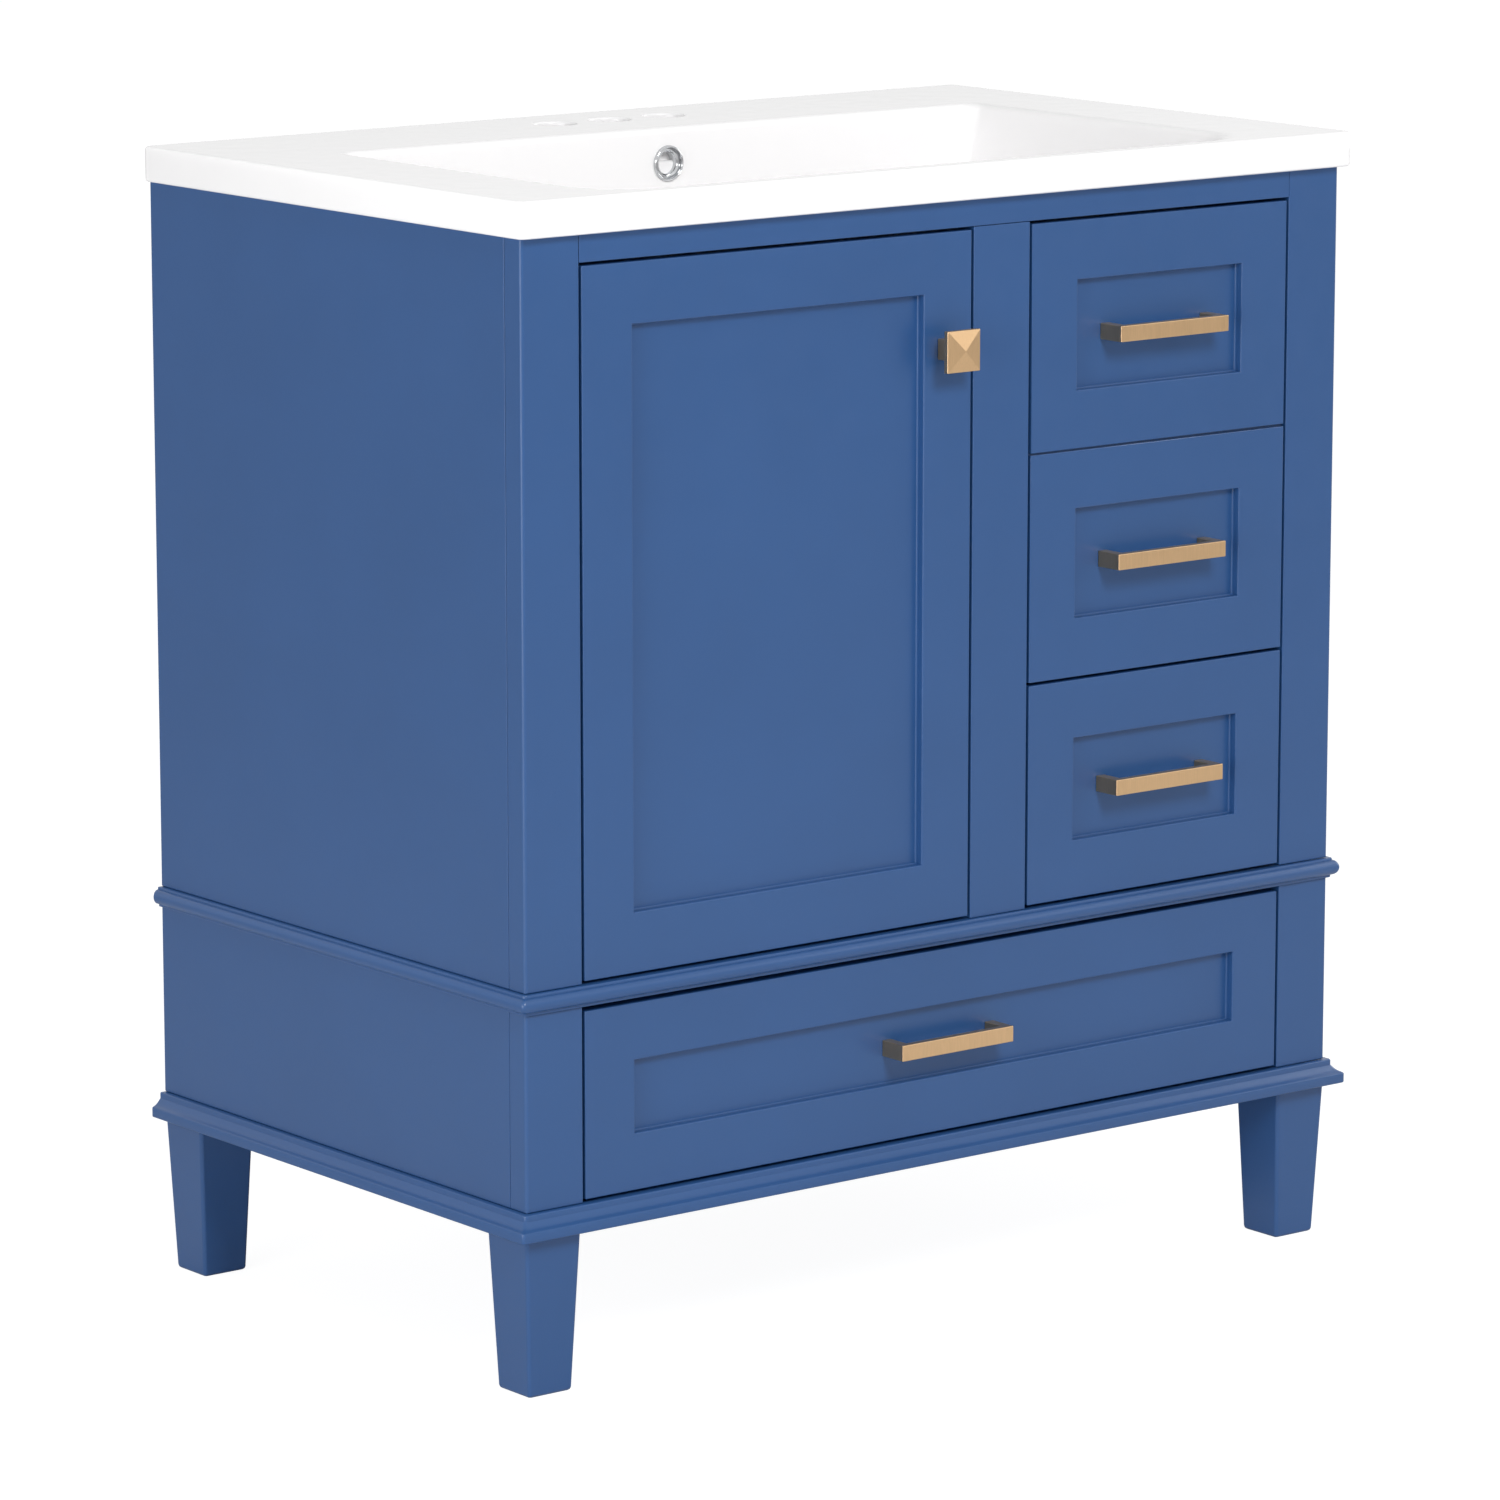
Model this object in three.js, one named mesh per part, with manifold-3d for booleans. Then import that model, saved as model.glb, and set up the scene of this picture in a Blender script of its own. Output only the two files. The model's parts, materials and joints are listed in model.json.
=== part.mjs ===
// Freestanding bathroom vanity cabinet: a painted face-frame carcass in two storeys on tapered legs,
// with a moulded board under each storey, an inset door, three drawers and a moulded basin top.
// Millimetres. X to the right, Y to the back, Z up. The origin is on the floor, under the middle of
// the whole object's box, knob included.
import * as THREE from "three";
import { ParametricGeometry } from "three/addons/geometries/ParametricGeometry.js";
import { mergeVertices } from "three/addons/utils/BufferGeometryUtils.js";
import Module from "manifold-3d";

const wasm = await Module();
wasm.setup();

// Driving dimensions ------------------------------------------------------------------------------

const bodyWidth = 750;
const bodyDepth = 455;
const legHeight = 117;
const baseThickness = 18; // moulded board that the lower storey stands on
const lowerHeight = 141; // storey of the wide bottom drawer
const midThickness = 15; // moulded board between the storeys
const upperHeight = 523; // storey of the door and of the two upper drawers
const topThickness = 26;

const frameThickness = 19; // posts, rails, door and drawer fronts
const panelThickness = 15; // sides and partition
const postWidth = 49;
const stileLeft = 24; // centre stile, from the middle of the body
const stileRight = 76;
const topRailHeight = 20;

const seam = 0.3; // left between pieces that touch
const reveal = 2.3; // shows between a front and the frame around it

const frontMargin = 43.3; // flat border round a recessed panel
const wideMargin = 41; // the same above and below the bottom drawer's panel
const recessDepth = 7;
const grooveWidth = 1.7; // of the false gap across the upper drawer's front
const grooveDepth = 2.4;

const knobReach = 23;
const knobSize = 30;
const knobX = -2.2;
const knobZ = 709;
const pullLength = 104;
const pullReach = 23.5;
const pullHeight = 11.8;
const pullBar = 6;
const pullLeg = 8;

const topWidth = 762;
const topOverhang = 8.5; // of the basin top past the front of the body
const basinHalfWidth = 296;
const basinFront = 3;
const basinBack = 327;
const basinDepth = 128;
const basinWall = 8;

const slideLength = 400;
const slideHeight = 35;
const slideWidth = 12.5;
const boxBoard = 12;

// Levels and faces that follow from them ----------------------------------------------------------

const baseTop = legHeight + baseThickness;
const lowerTop = baseTop + lowerHeight;
const midTop = lowerTop + midThickness;
const upperTop = midTop + upperHeight;
const height = upperTop + topThickness;
const half = bodyWidth / 2;
const opening = half - postWidth; // inner edge of the posts
const innerSide = half - panelThickness; // inner face of the sides
const railBottom = upperTop - topRailHeight;

const backThickness = 6;
const backClearance = 3; // between the back panel and the wall
const backFace = bodyDepth - backThickness - backClearance; // front of the back panel
const plumbingCutout = { x: [-180, 30], z: [430, 680] };

// Materials ---------------------------------------------------------------------------------------

function finish(color, roughness, metalness) {
  return new THREE.MeshStandardMaterial({ color, roughness, metalness });
}

const bluePaint = finish(0x456497, 0.45, 0);
const whiteGlaze = finish(0xf6f5f5, 0.12, 0);
const brushedBrass = finish(0xc39a6b, 0.35, 1);
const chrome = finish(0xd4d6d8, 0.08, 1);
const birch = finish(0xd9c3a0, 0.6, 0);
const zincSteel = finish(0xb4b8bc, 0.35, 1);

// Solids ------------------------------------------------------------------------------------------

// A closed three.js geometry as a solid that can be cut and joined.
function solid(geometry) {
  const bare = geometry.clone();
  bare.deleteAttribute("normal");
  bare.deleteAttribute("uv");
  const merged = mergeVertices(bare, 1e-4);
  const corners = merged.index.array;
  const triangles = [];
  for (let i = 0; i < corners.length; i += 3) {
    const [a, b, c] = corners.slice(i, i + 3);
    if (a !== b && b !== c && c !== a) triangles.push(a, b, c);
  }
  const vertProperties = merged.attributes.position.array;
  const triVerts = new Uint32Array(triangles);
  return new wasm.Manifold(new wasm.Mesh({ numProp: 3, vertProperties, triVerts }));
}

function geometryOf(body) {
  const { vertProperties, triVerts } = body.getMesh();
  const geometry = new THREE.BufferGeometry();
  geometry.setAttribute("position", new THREE.BufferAttribute(vertProperties, 3));
  geometry.setIndex(new THREE.BufferAttribute(triVerts, 1));
  geometry.computeVertexNormals();
  return geometry;
}

function piece(name, material, body) {
  const mesh = new THREE.Mesh(geometryOf(body), material);
  mesh.name = name;
  return mesh;
}

function box([x0, x1], [y0, y1], [z0, z1]) {
  const block = new THREE.BoxGeometry(x1 - x0, y1 - y0, z1 - z0);
  return solid(block.translate((x0 + x1) / 2, (y0 + y1) / 2, (z0 + z1) / 2));
}

function board(name, material, x, y, z) {
  return piece(name, material, box(x, y, z));
}

function extruded(points, depth) {
  const shape = new THREE.Shape(points.map(([x, y]) => new THREE.Vector2(x, y)));
  return new THREE.ExtrudeGeometry(shape, { depth, bevelEnabled: false });
}

const axisX = new THREE.Vector3(1, 0, 0);
const axisY = new THREE.Vector3(0, 1, 0);
const axisZ = new THREE.Vector3(0, 0, 1);

// A section drawn as (y, z) and run along X.
function alongX(points, x0, x1) {
  const turn = new THREE.Matrix4().makeBasis(axisY, axisZ, axisX);
  return solid(extruded(points, x1 - x0).applyMatrix4(turn).translate(x0, 0, 0));
}

// A section drawn as (x, z) and run along Y.
function alongY(points, y0, y1) {
  const turn = new THREE.Matrix4().makeBasis(axisX, axisZ, axisY.clone().negate());
  return solid(extruded(points, y1 - y0).applyMatrix4(turn).translate(0, y1, 0));
}

// A section drawn as (x, y) and run up Z.
const alongZ = (points, z0, z1) => solid(extruded(points, z1 - z0).translate(0, 0, z0));

// A profile of [radius, distance] turned about its axis; it may be drawn in either direction.
function turned(profile, segments) {
  const points = profile.map(([radius, along]) => new THREE.Vector2(radius, along));
  if (THREE.ShapeUtils.area(points) < 0) points.reverse();
  return new THREE.LatheGeometry(points, segments);
}

// A square bar turned from a profile of [half width, height], standing along Z.
function squareTurned(profile) {
  const corners = profile.map(([across, up]) => [across * Math.SQRT2, up]);
  return turned(corners, 4).rotateY(Math.PI / 4).rotateX(Math.PI / 2);
}

// A round body turned from a profile of [radius, distance], standing along -Y from the given point.
const turnedForward = (profile, segments, x, y, z) =>
  solid(turned(profile, segments).rotateZ(Math.PI).translate(x, y, z));

// A copy on the other side of the body.
const mirrored = (body) => body.scale([-1, 1, 1]);

// Carcass -----------------------------------------------------------------------------------------

// Edge of the base board as [out past the body, up from its underside]: a flat foot with eased
// corners, a shallow hollow slope, and a small upright lip under the storey above.
function baseEdge() {
  const edge = [
    [10.4, 0],
    [11.4, 1],
    [11.4, 6.5],
  ];
  for (let step = 0; step <= 4; step++) {
    const t = step / 4;
    edge.push([10.8 - 6.7 * t, 7.3 + 6.1 * t - Math.sin(t * Math.PI)]);
  }
  edge.push([3.9, 16.8], [3, baseThickness]);
  return edge;
}

// Edge of the middle board: a half-round nose between two thin fillets.
function midEdge() {
  const edge = [
    [2.4, 0],
    [2.4, 1.8],
  ];
  for (let step = 0; step <= 8; step++) {
    const angle = (step / 8 - 0.5) * Math.PI;
    edge.push([3.2 + 4 * Math.cos(angle), 7.7 + 5.4 * Math.sin(angle)]);
  }
  edge.push([3, midThickness - 0.5], [2.6, midThickness]);
  return edge;
}

// A board with a moulded edge on three sides and a square back, notched there for the back panel.
function mouldedBoard(name, edge, underside, thickness) {
  const front = edge.map(([out, up]) => [-out, underside + up]);
  const right = edge.map(([out, up]) => [half + out, underside + up]);
  const left = edge.map(([out, up]) => [-half - out, underside + up]).reverse();
  const top = underside + thickness;
  const section = [[bodyDepth, underside], [bodyDepth, top], ...front.reverse()];
  const across = alongX(section, -bodyWidth, bodyWidth);
  const endways = alongY([...right, ...left], -bodyWidth, bodyDepth + bodyWidth);
  const notch = box([-innerSide, innerSide], [backFace - seam, bodyDepth + 1], [underside - 1, top + 1]);
  return piece(name, bluePaint, across.intersect(endways).subtract(notch));
}

// The sides and posts of one storey, which stand between two levels.
function storey(name, bottom, top) {
  const z = [bottom + seam, top - seam];
  const parts = [];
  for (const [hand, sign] of [["left", -1], ["right", 1]]) {
    const across = (from, to) => [Math.min(sign * from, sign * to), Math.max(sign * from, sign * to)];
    const side = across(innerSide, half);
    const post = across(opening, half);
    parts.push(board(`${name}_side_${hand}`, bluePaint, side, [frameThickness + seam, bodyDepth], z));
    parts.push(board(`${name}_post_${hand}`, bluePaint, post, [0, frameThickness], z));
  }
  return parts;
}

// A tapered square leg with an eased foot, flush with two faces of the body. x is -1 or 1, for the
// left or the right.
function leg(name, x, atBack) {
  const topHalf = 23.75;
  const footHalf = 18.75;
  const ease = 2.5;
  const profile = [
    [0, 0],
    [footHalf - ease, 0],
    [footHalf, ease],
    [topHalf, legHeight - seam],
    [0, legHeight - seam],
  ];
  const mesh = piece(name, bluePaint, solid(squareTurned(profile)));
  mesh.position.set(x * (half - topHalf), atBack ? bodyDepth - topHalf : topHalf, 0);
  return mesh;
}

function carcass() {
  const group = new THREE.Group();
  group.add(mouldedBoard("base_board", baseEdge(), legHeight, baseThickness));
  group.add(...storey("lower", baseTop, lowerTop));
  group.add(mouldedBoard("middle_board", midEdge(), lowerTop, midThickness));
  group.add(...storey("upper", midTop, upperTop));

  const frame = [0, frameThickness];
  const railSpan = [seam - opening, opening - seam];
  const stileSpan = [stileLeft, stileRight];
  group.add(board("top_rail", bluePaint, railSpan, frame, [railBottom, upperTop - seam]));
  group.add(board("centre_stile", bluePaint, stileSpan, frame, [midTop + seam, railBottom - seam]));

  const partitionTop = 690; // just under the basin
  const inside = [frameThickness + seam, backFace - seam];
  const partition = [stileRight - panelThickness, stileRight];
  group.add(board("partition", birch, partition, inside, [midTop + seam, partitionTop]));

  const backSpan = [seam - innerSide, innerSide - seam];
  const back = box(backSpan, [backFace, backFace + backThickness], [baseTop + seam, upperTop - seam]);
  const cutout = box(plumbingCutout.x, [backFace - 1, bodyDepth], plumbingCutout.z);
  group.add(piece("back_panel", bluePaint, back.subtract(cutout)));

  for (const [hand, x] of [["left", -1], ["right", 1]]) {
    group.add(leg(`leg_front_${hand}`, x, false));
    group.add(leg(`leg_back_${hand}`, x, true));
  }
  return group;
}

// Basin top ---------------------------------------------------------------------------------------

const cornerSteps = 7;
const basinRows = 11;

// How far the basin has drawn in at a share of its depth: a flared front, sloped ends, an upright
// back, and a round fillet into the floor.
function basinInset(share) {
  const filletStart = 0.72;
  const turn = Math.max(0, (share - filletStart) / (1 - filletStart));
  const fillet = 34 * (1 - Math.sqrt(1 - turn * turn));
  return {
    front: 50 * Math.pow(share, 0.42) + fillet,
    ends: 26 * Math.pow(share, 0.8) + fillet,
    back: 14 * Math.max(0, share - 0.36) + fillet,
  };
}

// One rounded rectangle of the basin, sampled corner by corner.
function basinOutline(index, inset, frontRadius, backRadius, wall) {
  const corner = Math.floor(index / (cornerSteps + 1)) % 4;
  const step = index % (cornerSteps + 1);
  const atBack = corner === 0 || corner === 1;
  const atRight = corner === 0 || corner === 3;
  const radius = (atBack ? backRadius : frontRadius) + wall;
  const angle = ((corner + step / cornerSteps) * Math.PI) / 2;
  const reachX = basinHalfWidth - inset.ends + wall;
  const reachY = atBack ? basinBack - inset.back + wall : basinFront + inset.front - wall;
  const centreX = (atRight ? 1 : -1) * (reachX - radius);
  const centreY = reachY + (atBack ? -1 : 1) * radius;
  return [centreX + radius * Math.cos(angle), centreY + radius * Math.sin(angle)];
}

const drain = { x: 0, y: 185, radius: 23, seatRadius: 36, seat: 698 };
const floorFall = 3;

// The solid of the basin's hollow, or with a wall added, of its outside.
function basinBody(wall, rise) {
  const slices = 4 * (cornerSteps + 1);
  const stacks = basinRows + 2;
  const surface = (u, v, target) => {
    const row = stacks - Math.round(v * stacks); // counted down from the middle of the mouth
    const share = Math.min(Math.max((row - 1) / basinRows, 0), 1);
    const eased = Math.sin((share * Math.PI) / 2);
    const [x, y] = basinOutline(Math.round(u * slices), basinInset(eased), 44, 12 + 14 * eased, wall);
    const z = height - basinDepth * eased - wall * eased;
    if (row === 0) target.set(drain.x, drain.y, height + rise);
    else if (row === stacks) target.set(drain.x, drain.y, z - floorFall);
    else target.set(x, y, row === 1 ? z + rise : z);
  };
  return solid(new ParametricGeometry(surface, slices, stacks));
}

// The slab's outline, a rectangle with rounded corners.
function slabOutline(radius) {
  const shape = new THREE.Shape();
  const right = topWidth / 2;
  shape.absarc(right - radius, bodyDepth - radius, radius, 0, Math.PI / 2);
  shape.absarc(radius - right, bodyDepth - radius, radius, Math.PI / 2, Math.PI);
  shape.absarc(radius - right, radius - topOverhang, radius, Math.PI, 1.5 * Math.PI);
  shape.absarc(right - radius, radius - topOverhang, radius, 1.5 * Math.PI, 2 * Math.PI);
  return shape;
}

function upright(x, y, radius, z0, z1, segments) {
  const geometry = new THREE.CylinderGeometry(radius, radius, z1 - z0, segments).rotateX(Math.PI / 2);
  return solid(geometry.translate(x, y, (z0 + z1) / 2));
}

const faucetHoles = { x: [-51, 0, 51], y: 399, radius: 16 };
const overflow = { x: 0, z: height - 27, radius: 10, bore: 16 };
const ductWidth = 56;
const ductReach = 26; // behind the basin's back wall

function basinTop() {
  const group = new THREE.Group();
  const slabShape = { depth: topThickness, bevelEnabled: false, curveSegments: 4 };
  const slab = solid(new THREE.ExtrudeGeometry(slabOutline(6), slabShape)).translate([0, 0, upperTop]);
  // Overflow duct down the outside of the back wall.
  const ductY = [basinBack - 20, basinBack + ductReach];
  const duct = box([-ductWidth / 2, ductWidth / 2], ductY, [height - basinDepth + 6, upperTop + 1]);
  // Flat seat for the drain's washer, under the floor.
  const seat = upright(drain.x, drain.y, drain.seatRadius, drain.seat, height - basinDepth - 4, 28);
  let body = slab.add(basinBody(basinWall, -1)).add(duct).add(seat).subtract(basinBody(0, 1));
  for (const x of faucetHoles.x)
    body = body.subtract(upright(x, faucetHoles.y, faucetHoles.radius, upperTop - 1, height + 1, 24));
  body = body.subtract(upright(drain.x, drain.y, drain.radius, drain.seat - 1, height - 100, 28));
  const bore = [
    [0, -overflow.bore],
    [overflow.radius, -overflow.bore],
    [overflow.radius, 6],
    [0, 6],
  ];
  body = body.subtract(turnedForward(bore, 20, overflow.x, basinBack, overflow.z));
  group.add(piece("basin_top", whiteGlaze, body));

  // Trim ring: a sleeve in the overflow hole and a domed rim on the wall.
  const sleeve = overflow.radius - seam;
  const sleeveBore = sleeve - 1.6;
  const sleeveLength = 9;
  const rim = 13.5;
  const dome = 2.6;
  const ring = [
    [sleeveBore, -sleeveLength],
    [sleeve, -sleeveLength],
    [sleeve, seam],
    [rim, seam],
    [rim, 1.2],
    [rim - 1.5, dome],
    [sleeve - 0.3, dome],
    [sleeveBore, dome - 1.2],
    [sleeveBore, -sleeveLength],
  ];
  group.add(piece("overflow_ring", chrome, turnedForward(ring, 28, overflow.x, basinBack, overflow.z)));
  return group;
}

// Fronts ------------------------------------------------------------------------------------------

// A front board with recessed panels, each given as its x and z spans.
function recessedFront(x, z, recesses) {
  let front = box(x, [0, frameThickness], z);
  for (const [panelX, panelZ] of recesses) {
    front = front.subtract(box(panelX, [-1, recessDepth], panelZ));
  }
  return front;
}

const shrunk = ([low, high], margin) => [low + margin, high - margin];

// A square bar pull on two legs, standing on a recessed panel.
function pull(name, x, z) {
  const panel = recessDepth - seam;
  const out = recessDepth - pullReach;
  const end = pullLength / 2;
  const outline = [
    [-end, out],
    [end, out],
    [end, panel],
    [end - pullLeg, panel],
    [end - pullLeg, out + pullBar],
    [pullLeg - end, out + pullBar],
    [pullLeg - end, panel],
    [-end, panel],
  ];
  const mesh = piece(name, brushedBrass, alongZ(outline, -pullHeight / 2, pullHeight / 2));
  mesh.position.set(x, 0, z);
  return mesh;
}

// Door and its cup hinges -------------------------------------------------------------------------

const cup = { radius: 17.2, depth: 11.5, fromEdge: 22, sheet: 1.6, flange: 2 };
const hingeFromEnd = 90; // of the storey's opening
const hingeHeights = [midTop + hingeFromEnd, railBottom - hingeFromEnd];

// The cup in the back of the door, with its two screw ears.
function hingeCup(name, x, z) {
  const back = frameThickness + seam;
  const inner = cup.radius - cup.sheet;
  const shell = [
    [0, cup.depth],
    [cup.radius, cup.depth],
    [cup.radius, -seam],
    [cup.radius + cup.flange, -seam],
    [cup.radius + cup.flange, -1.5],
    [inner, -1.5],
    [inner, cup.depth - cup.sheet],
    [0, cup.depth - cup.sheet],
  ];
  const mouth = [
    [0, -5],
    [inner, -5],
    [inner, 5],
    [0, 5],
  ];
  const ears = box([-8, 8], [back, back + 1.2], [-28, 28]);
  const drilled = ears.subtract(turnedForward(mouth, 28, 0, frameThickness, 0));
  const body = turnedForward(shell, 28, 0, frameThickness, 0).add(drilled);
  const mesh = piece(name, zincSteel, body);
  mesh.position.set(x, 0, z);
  return mesh;
}

// The cabinet's half of a hinge: a plate on the back of the post and an arm over the cup.
function hingeArm(name, z) {
  const back = frameThickness + seam;
  const sheet = 2.5;
  const plate = box([-half + 22, -opening - 1], [back, back + sheet], [-26, 26]);
  const arm = box([-half + 30, -opening + 30], [back + sheet - 0.1, back + 11], [-6, 6]);
  const mesh = piece(name, zincSteel, plate.add(arm));
  mesh.position.set(0, 0, z);
  return mesh;
}

function door() {
  const group = new THREE.Group();
  const x = [-opening + reveal, stileLeft - reveal];
  const z = [midTop + reveal, railBottom - reveal];
  let front = recessedFront(x, z, [[shrunk(x, frontMargin), shrunk(z, frontMargin)]]);
  const cupX = x[0] + cup.fromEdge;
  const pocket = [
    [0, -1],
    [cup.radius + seam, -1],
    [cup.radius + seam, cup.depth + seam],
    [0, cup.depth + seam],
  ];
  for (const level of hingeHeights) {
    front = front.subtract(turnedForward(pocket, 28, cupX, frameThickness, level));
  }
  group.add(piece("door_front", bluePaint, front));
  hingeHeights.forEach((level, i) => {
    const place = ["lower", "upper"][i];
    group.add(hingeCup(`hinge_cup_${place}`, cupX, level));
    group.add(hingeArm(`hinge_arm_${place}`, level));
  });

  // Knob: a low pyramid on a thick square plate and a square stem.
  const stem = 7.5;
  const rise = 2.2;
  const plate = 4.2;
  const plateBack = knobReach - rise - plate; // from the door
  const profile = [
    [0, seam],
    [stem, seam],
    [stem, plateBack],
    [knobSize / 2 - 0.8, plateBack],
    [knobSize / 2, plateBack + 0.8],
    [knobSize / 2, plateBack + plate],
    [0, knobReach],
  ];
  const knob = squareTurned(profile).rotateX(Math.PI / 2);
  const mesh = piece("door_knob", brushedBrass, solid(knob));
  mesh.position.set(knobX, 0, knobZ);
  group.add(mesh);
  return group;
}

// Drawers -----------------------------------------------------------------------------------------

// Two-part slide: a channel on the cabinet and a narrower one on the drawer that runs inside it.
// Drawn for the right-hand side, where the cabinet's face is at wallX and the drawer is to its left.
function slidePair(name, wallX, z, sign) {
  const front = frameThickness + 2;
  const sheet = 1.4;
  const outerWidth = 9.2;
  const innerWidth = 8.5;
  const channel = (web, lip, reach) => {
    const thick = Math.sign(lip - web) * sheet;
    return [
      [web, z - reach],
      [lip, z - reach],
      [lip, z - reach + sheet],
      [web + thick, z - reach + sheet],
      [web + thick, z + reach - sheet],
      [lip, z + reach - sheet],
      [lip, z + reach],
      [web, z + reach],
    ];
  };
  const outerWeb = wallX - seam;
  const innerWeb = wallX - slideWidth;
  const outerSection = channel(outerWeb, outerWeb - outerWidth, slideHeight / 2);
  const innerSection = channel(innerWeb, innerWeb + innerWidth, slideHeight / 2 - 5);
  const outer = alongY(outerSection, front, front + slideLength);
  const inner = alongY(innerSection, front, front + slideLength);
  const side = sign > 0 ? "right" : "left";
  const place = (body) => (sign > 0 ? body : mirrored(body));
  return [
    piece(`${name}_slide_${side}`, zincSteel, place(outer)),
    piece(`${name}_runner_${side}`, zincSteel, place(inner)),
  ];
}

// A drawer: its front, an open box behind it, and a slide on each side.
// walls are the cabinet faces that carry the slides, and boxZ the span of the box's sides.
function drawer({ name, x, z, boxZ, walls, slideZ, recesses, pulls, groove }) {
  const group = new THREE.Group();
  let front = recessedFront(x, z, recesses);
  if (groove) {
    const grooveSpan = [groove - grooveWidth / 2, groove + grooveWidth / 2];
    front = front.subtract(box([x[0] - 1, x[1] + 1], [-1, grooveDepth], grooveSpan));
  }
  group.add(piece(`${name}_front`, bluePaint, front));

  const boxX = [walls[0] + slideWidth + seam, walls[1] - slideWidth - seam];
  const boxY = [frameThickness + seam, frameThickness + seam + slideLength];
  const floorZ = [boxZ[0] + 10, boxZ[0] + 16];
  const clear = [boxX[0] + boxBoard + seam, boxX[1] - boxBoard - seam];
  const backY = [boxY[1] - boxBoard, boxY[1]];
  group.add(board(`${name}_box_left`, birch, [boxX[0], boxX[0] + boxBoard], boxY, boxZ));
  group.add(board(`${name}_box_right`, birch, [boxX[1] - boxBoard, boxX[1]], boxY, boxZ));
  group.add(board(`${name}_box_back`, birch, clear, backY, [floorZ[1] + seam, boxZ[1]]));
  group.add(board(`${name}_box_bottom`, birch, clear, boxY, floorZ));
  pulls.forEach(([pullX, pullZ], i) => {
    const number = pulls.length > 1 ? `_${i + 1}` : "";
    group.add(pull(`${name}_pull${number}`, pullX, pullZ));
  });
  group.add(...slidePair(name, walls[1], slideZ, 1));
  group.add(...slidePair(name, -walls[0], slideZ, -1));
  return group;
}

const columnX = [stileRight + reveal, opening - reveal];
const columnMiddle = (stileRight + opening) / 2;
const splitZ = 456.8; // between the two upper drawers' fronts
const grooveZ = 625;

function drawers() {
  const group = new THREE.Group();
  const columnRecess = (low, high) => [shrunk(columnX, frontMargin), shrunk([low, high], frontMargin)];
  const middleOf = ([, [low, high]]) => [columnMiddle, (low + high) / 2];

  const upperZ = [splitZ + reveal / 2, railBottom - reveal];
  const upperRecesses = [columnRecess(grooveZ, upperZ[1]), columnRecess(upperZ[0], grooveZ)];
  group.add(
    drawer({
      name: "upper_drawer",
      x: columnX,
      z: upperZ,
      boxZ: [474, 634],
      walls: [stileRight, opening],
      slideZ: 522,
      recesses: upperRecesses,
      pulls: upperRecesses.map(middleOf),
      groove: grooveZ,
    }),
  );

  const lowerZ = [midTop + reveal, splitZ - reveal / 2];
  const lowerRecess = columnRecess(...lowerZ);
  group.add(
    drawer({
      name: "lower_drawer",
      x: columnX,
      z: lowerZ,
      boxZ: [306, 430],
      walls: [stileRight, opening],
      slideZ: 352,
      recesses: [lowerRecess],
      pulls: [middleOf(lowerRecess)],
    }),
  );

  const bottomX = [-opening + reveal, opening - reveal];
  const bottomZ = [baseTop + reveal, lowerTop - 4];
  const bottomRecess = [shrunk(bottomX, frontMargin), shrunk(bottomZ, wideMargin)];
  group.add(
    drawer({
      name: "bottom_drawer",
      x: bottomX,
      z: bottomZ,
      boxZ: [148, 250],
      walls: [-opening, opening],
      slideZ: 196,
      recesses: [bottomRecess],
      pulls: [[0, (bottomZ[0] + bottomZ[1]) / 2]],
    }),
  );

  // Packing boards that bring the slides in to the edge of the posts.
  const rightX = [opening, innerSide - seam];
  const leftX = [seam - innerSide, -opening];
  const depth = [frameThickness + seam, backFace - seam];
  const lowZ = [baseTop + seam, 230];
  group.add(board("slide_packing_upper", birch, rightX, depth, [320, 555]));
  group.add(board("slide_packing_right", birch, rightX, depth, lowZ));
  group.add(board("slide_packing_left", birch, leftX, depth, lowZ));
  return group;
}

// Assembly: the pieces above are drawn from the front face of the body, so the whole is moved to put
// the origin under the middle of its box.
const vanity = new THREE.Group();
vanity.add(carcass(), basinTop(), door(), drawers());
vanity.position.y = (knobReach - bodyDepth) / 2;

export default vanity;
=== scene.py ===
"""A freestanding bathroom vanity cabinet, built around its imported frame.

Painted face-frame carcass in two storeys on tapered legs, one door, three drawers and a moulded
basin top. Metres; X to the right, Y to the wall, Z up.
"""

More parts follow.
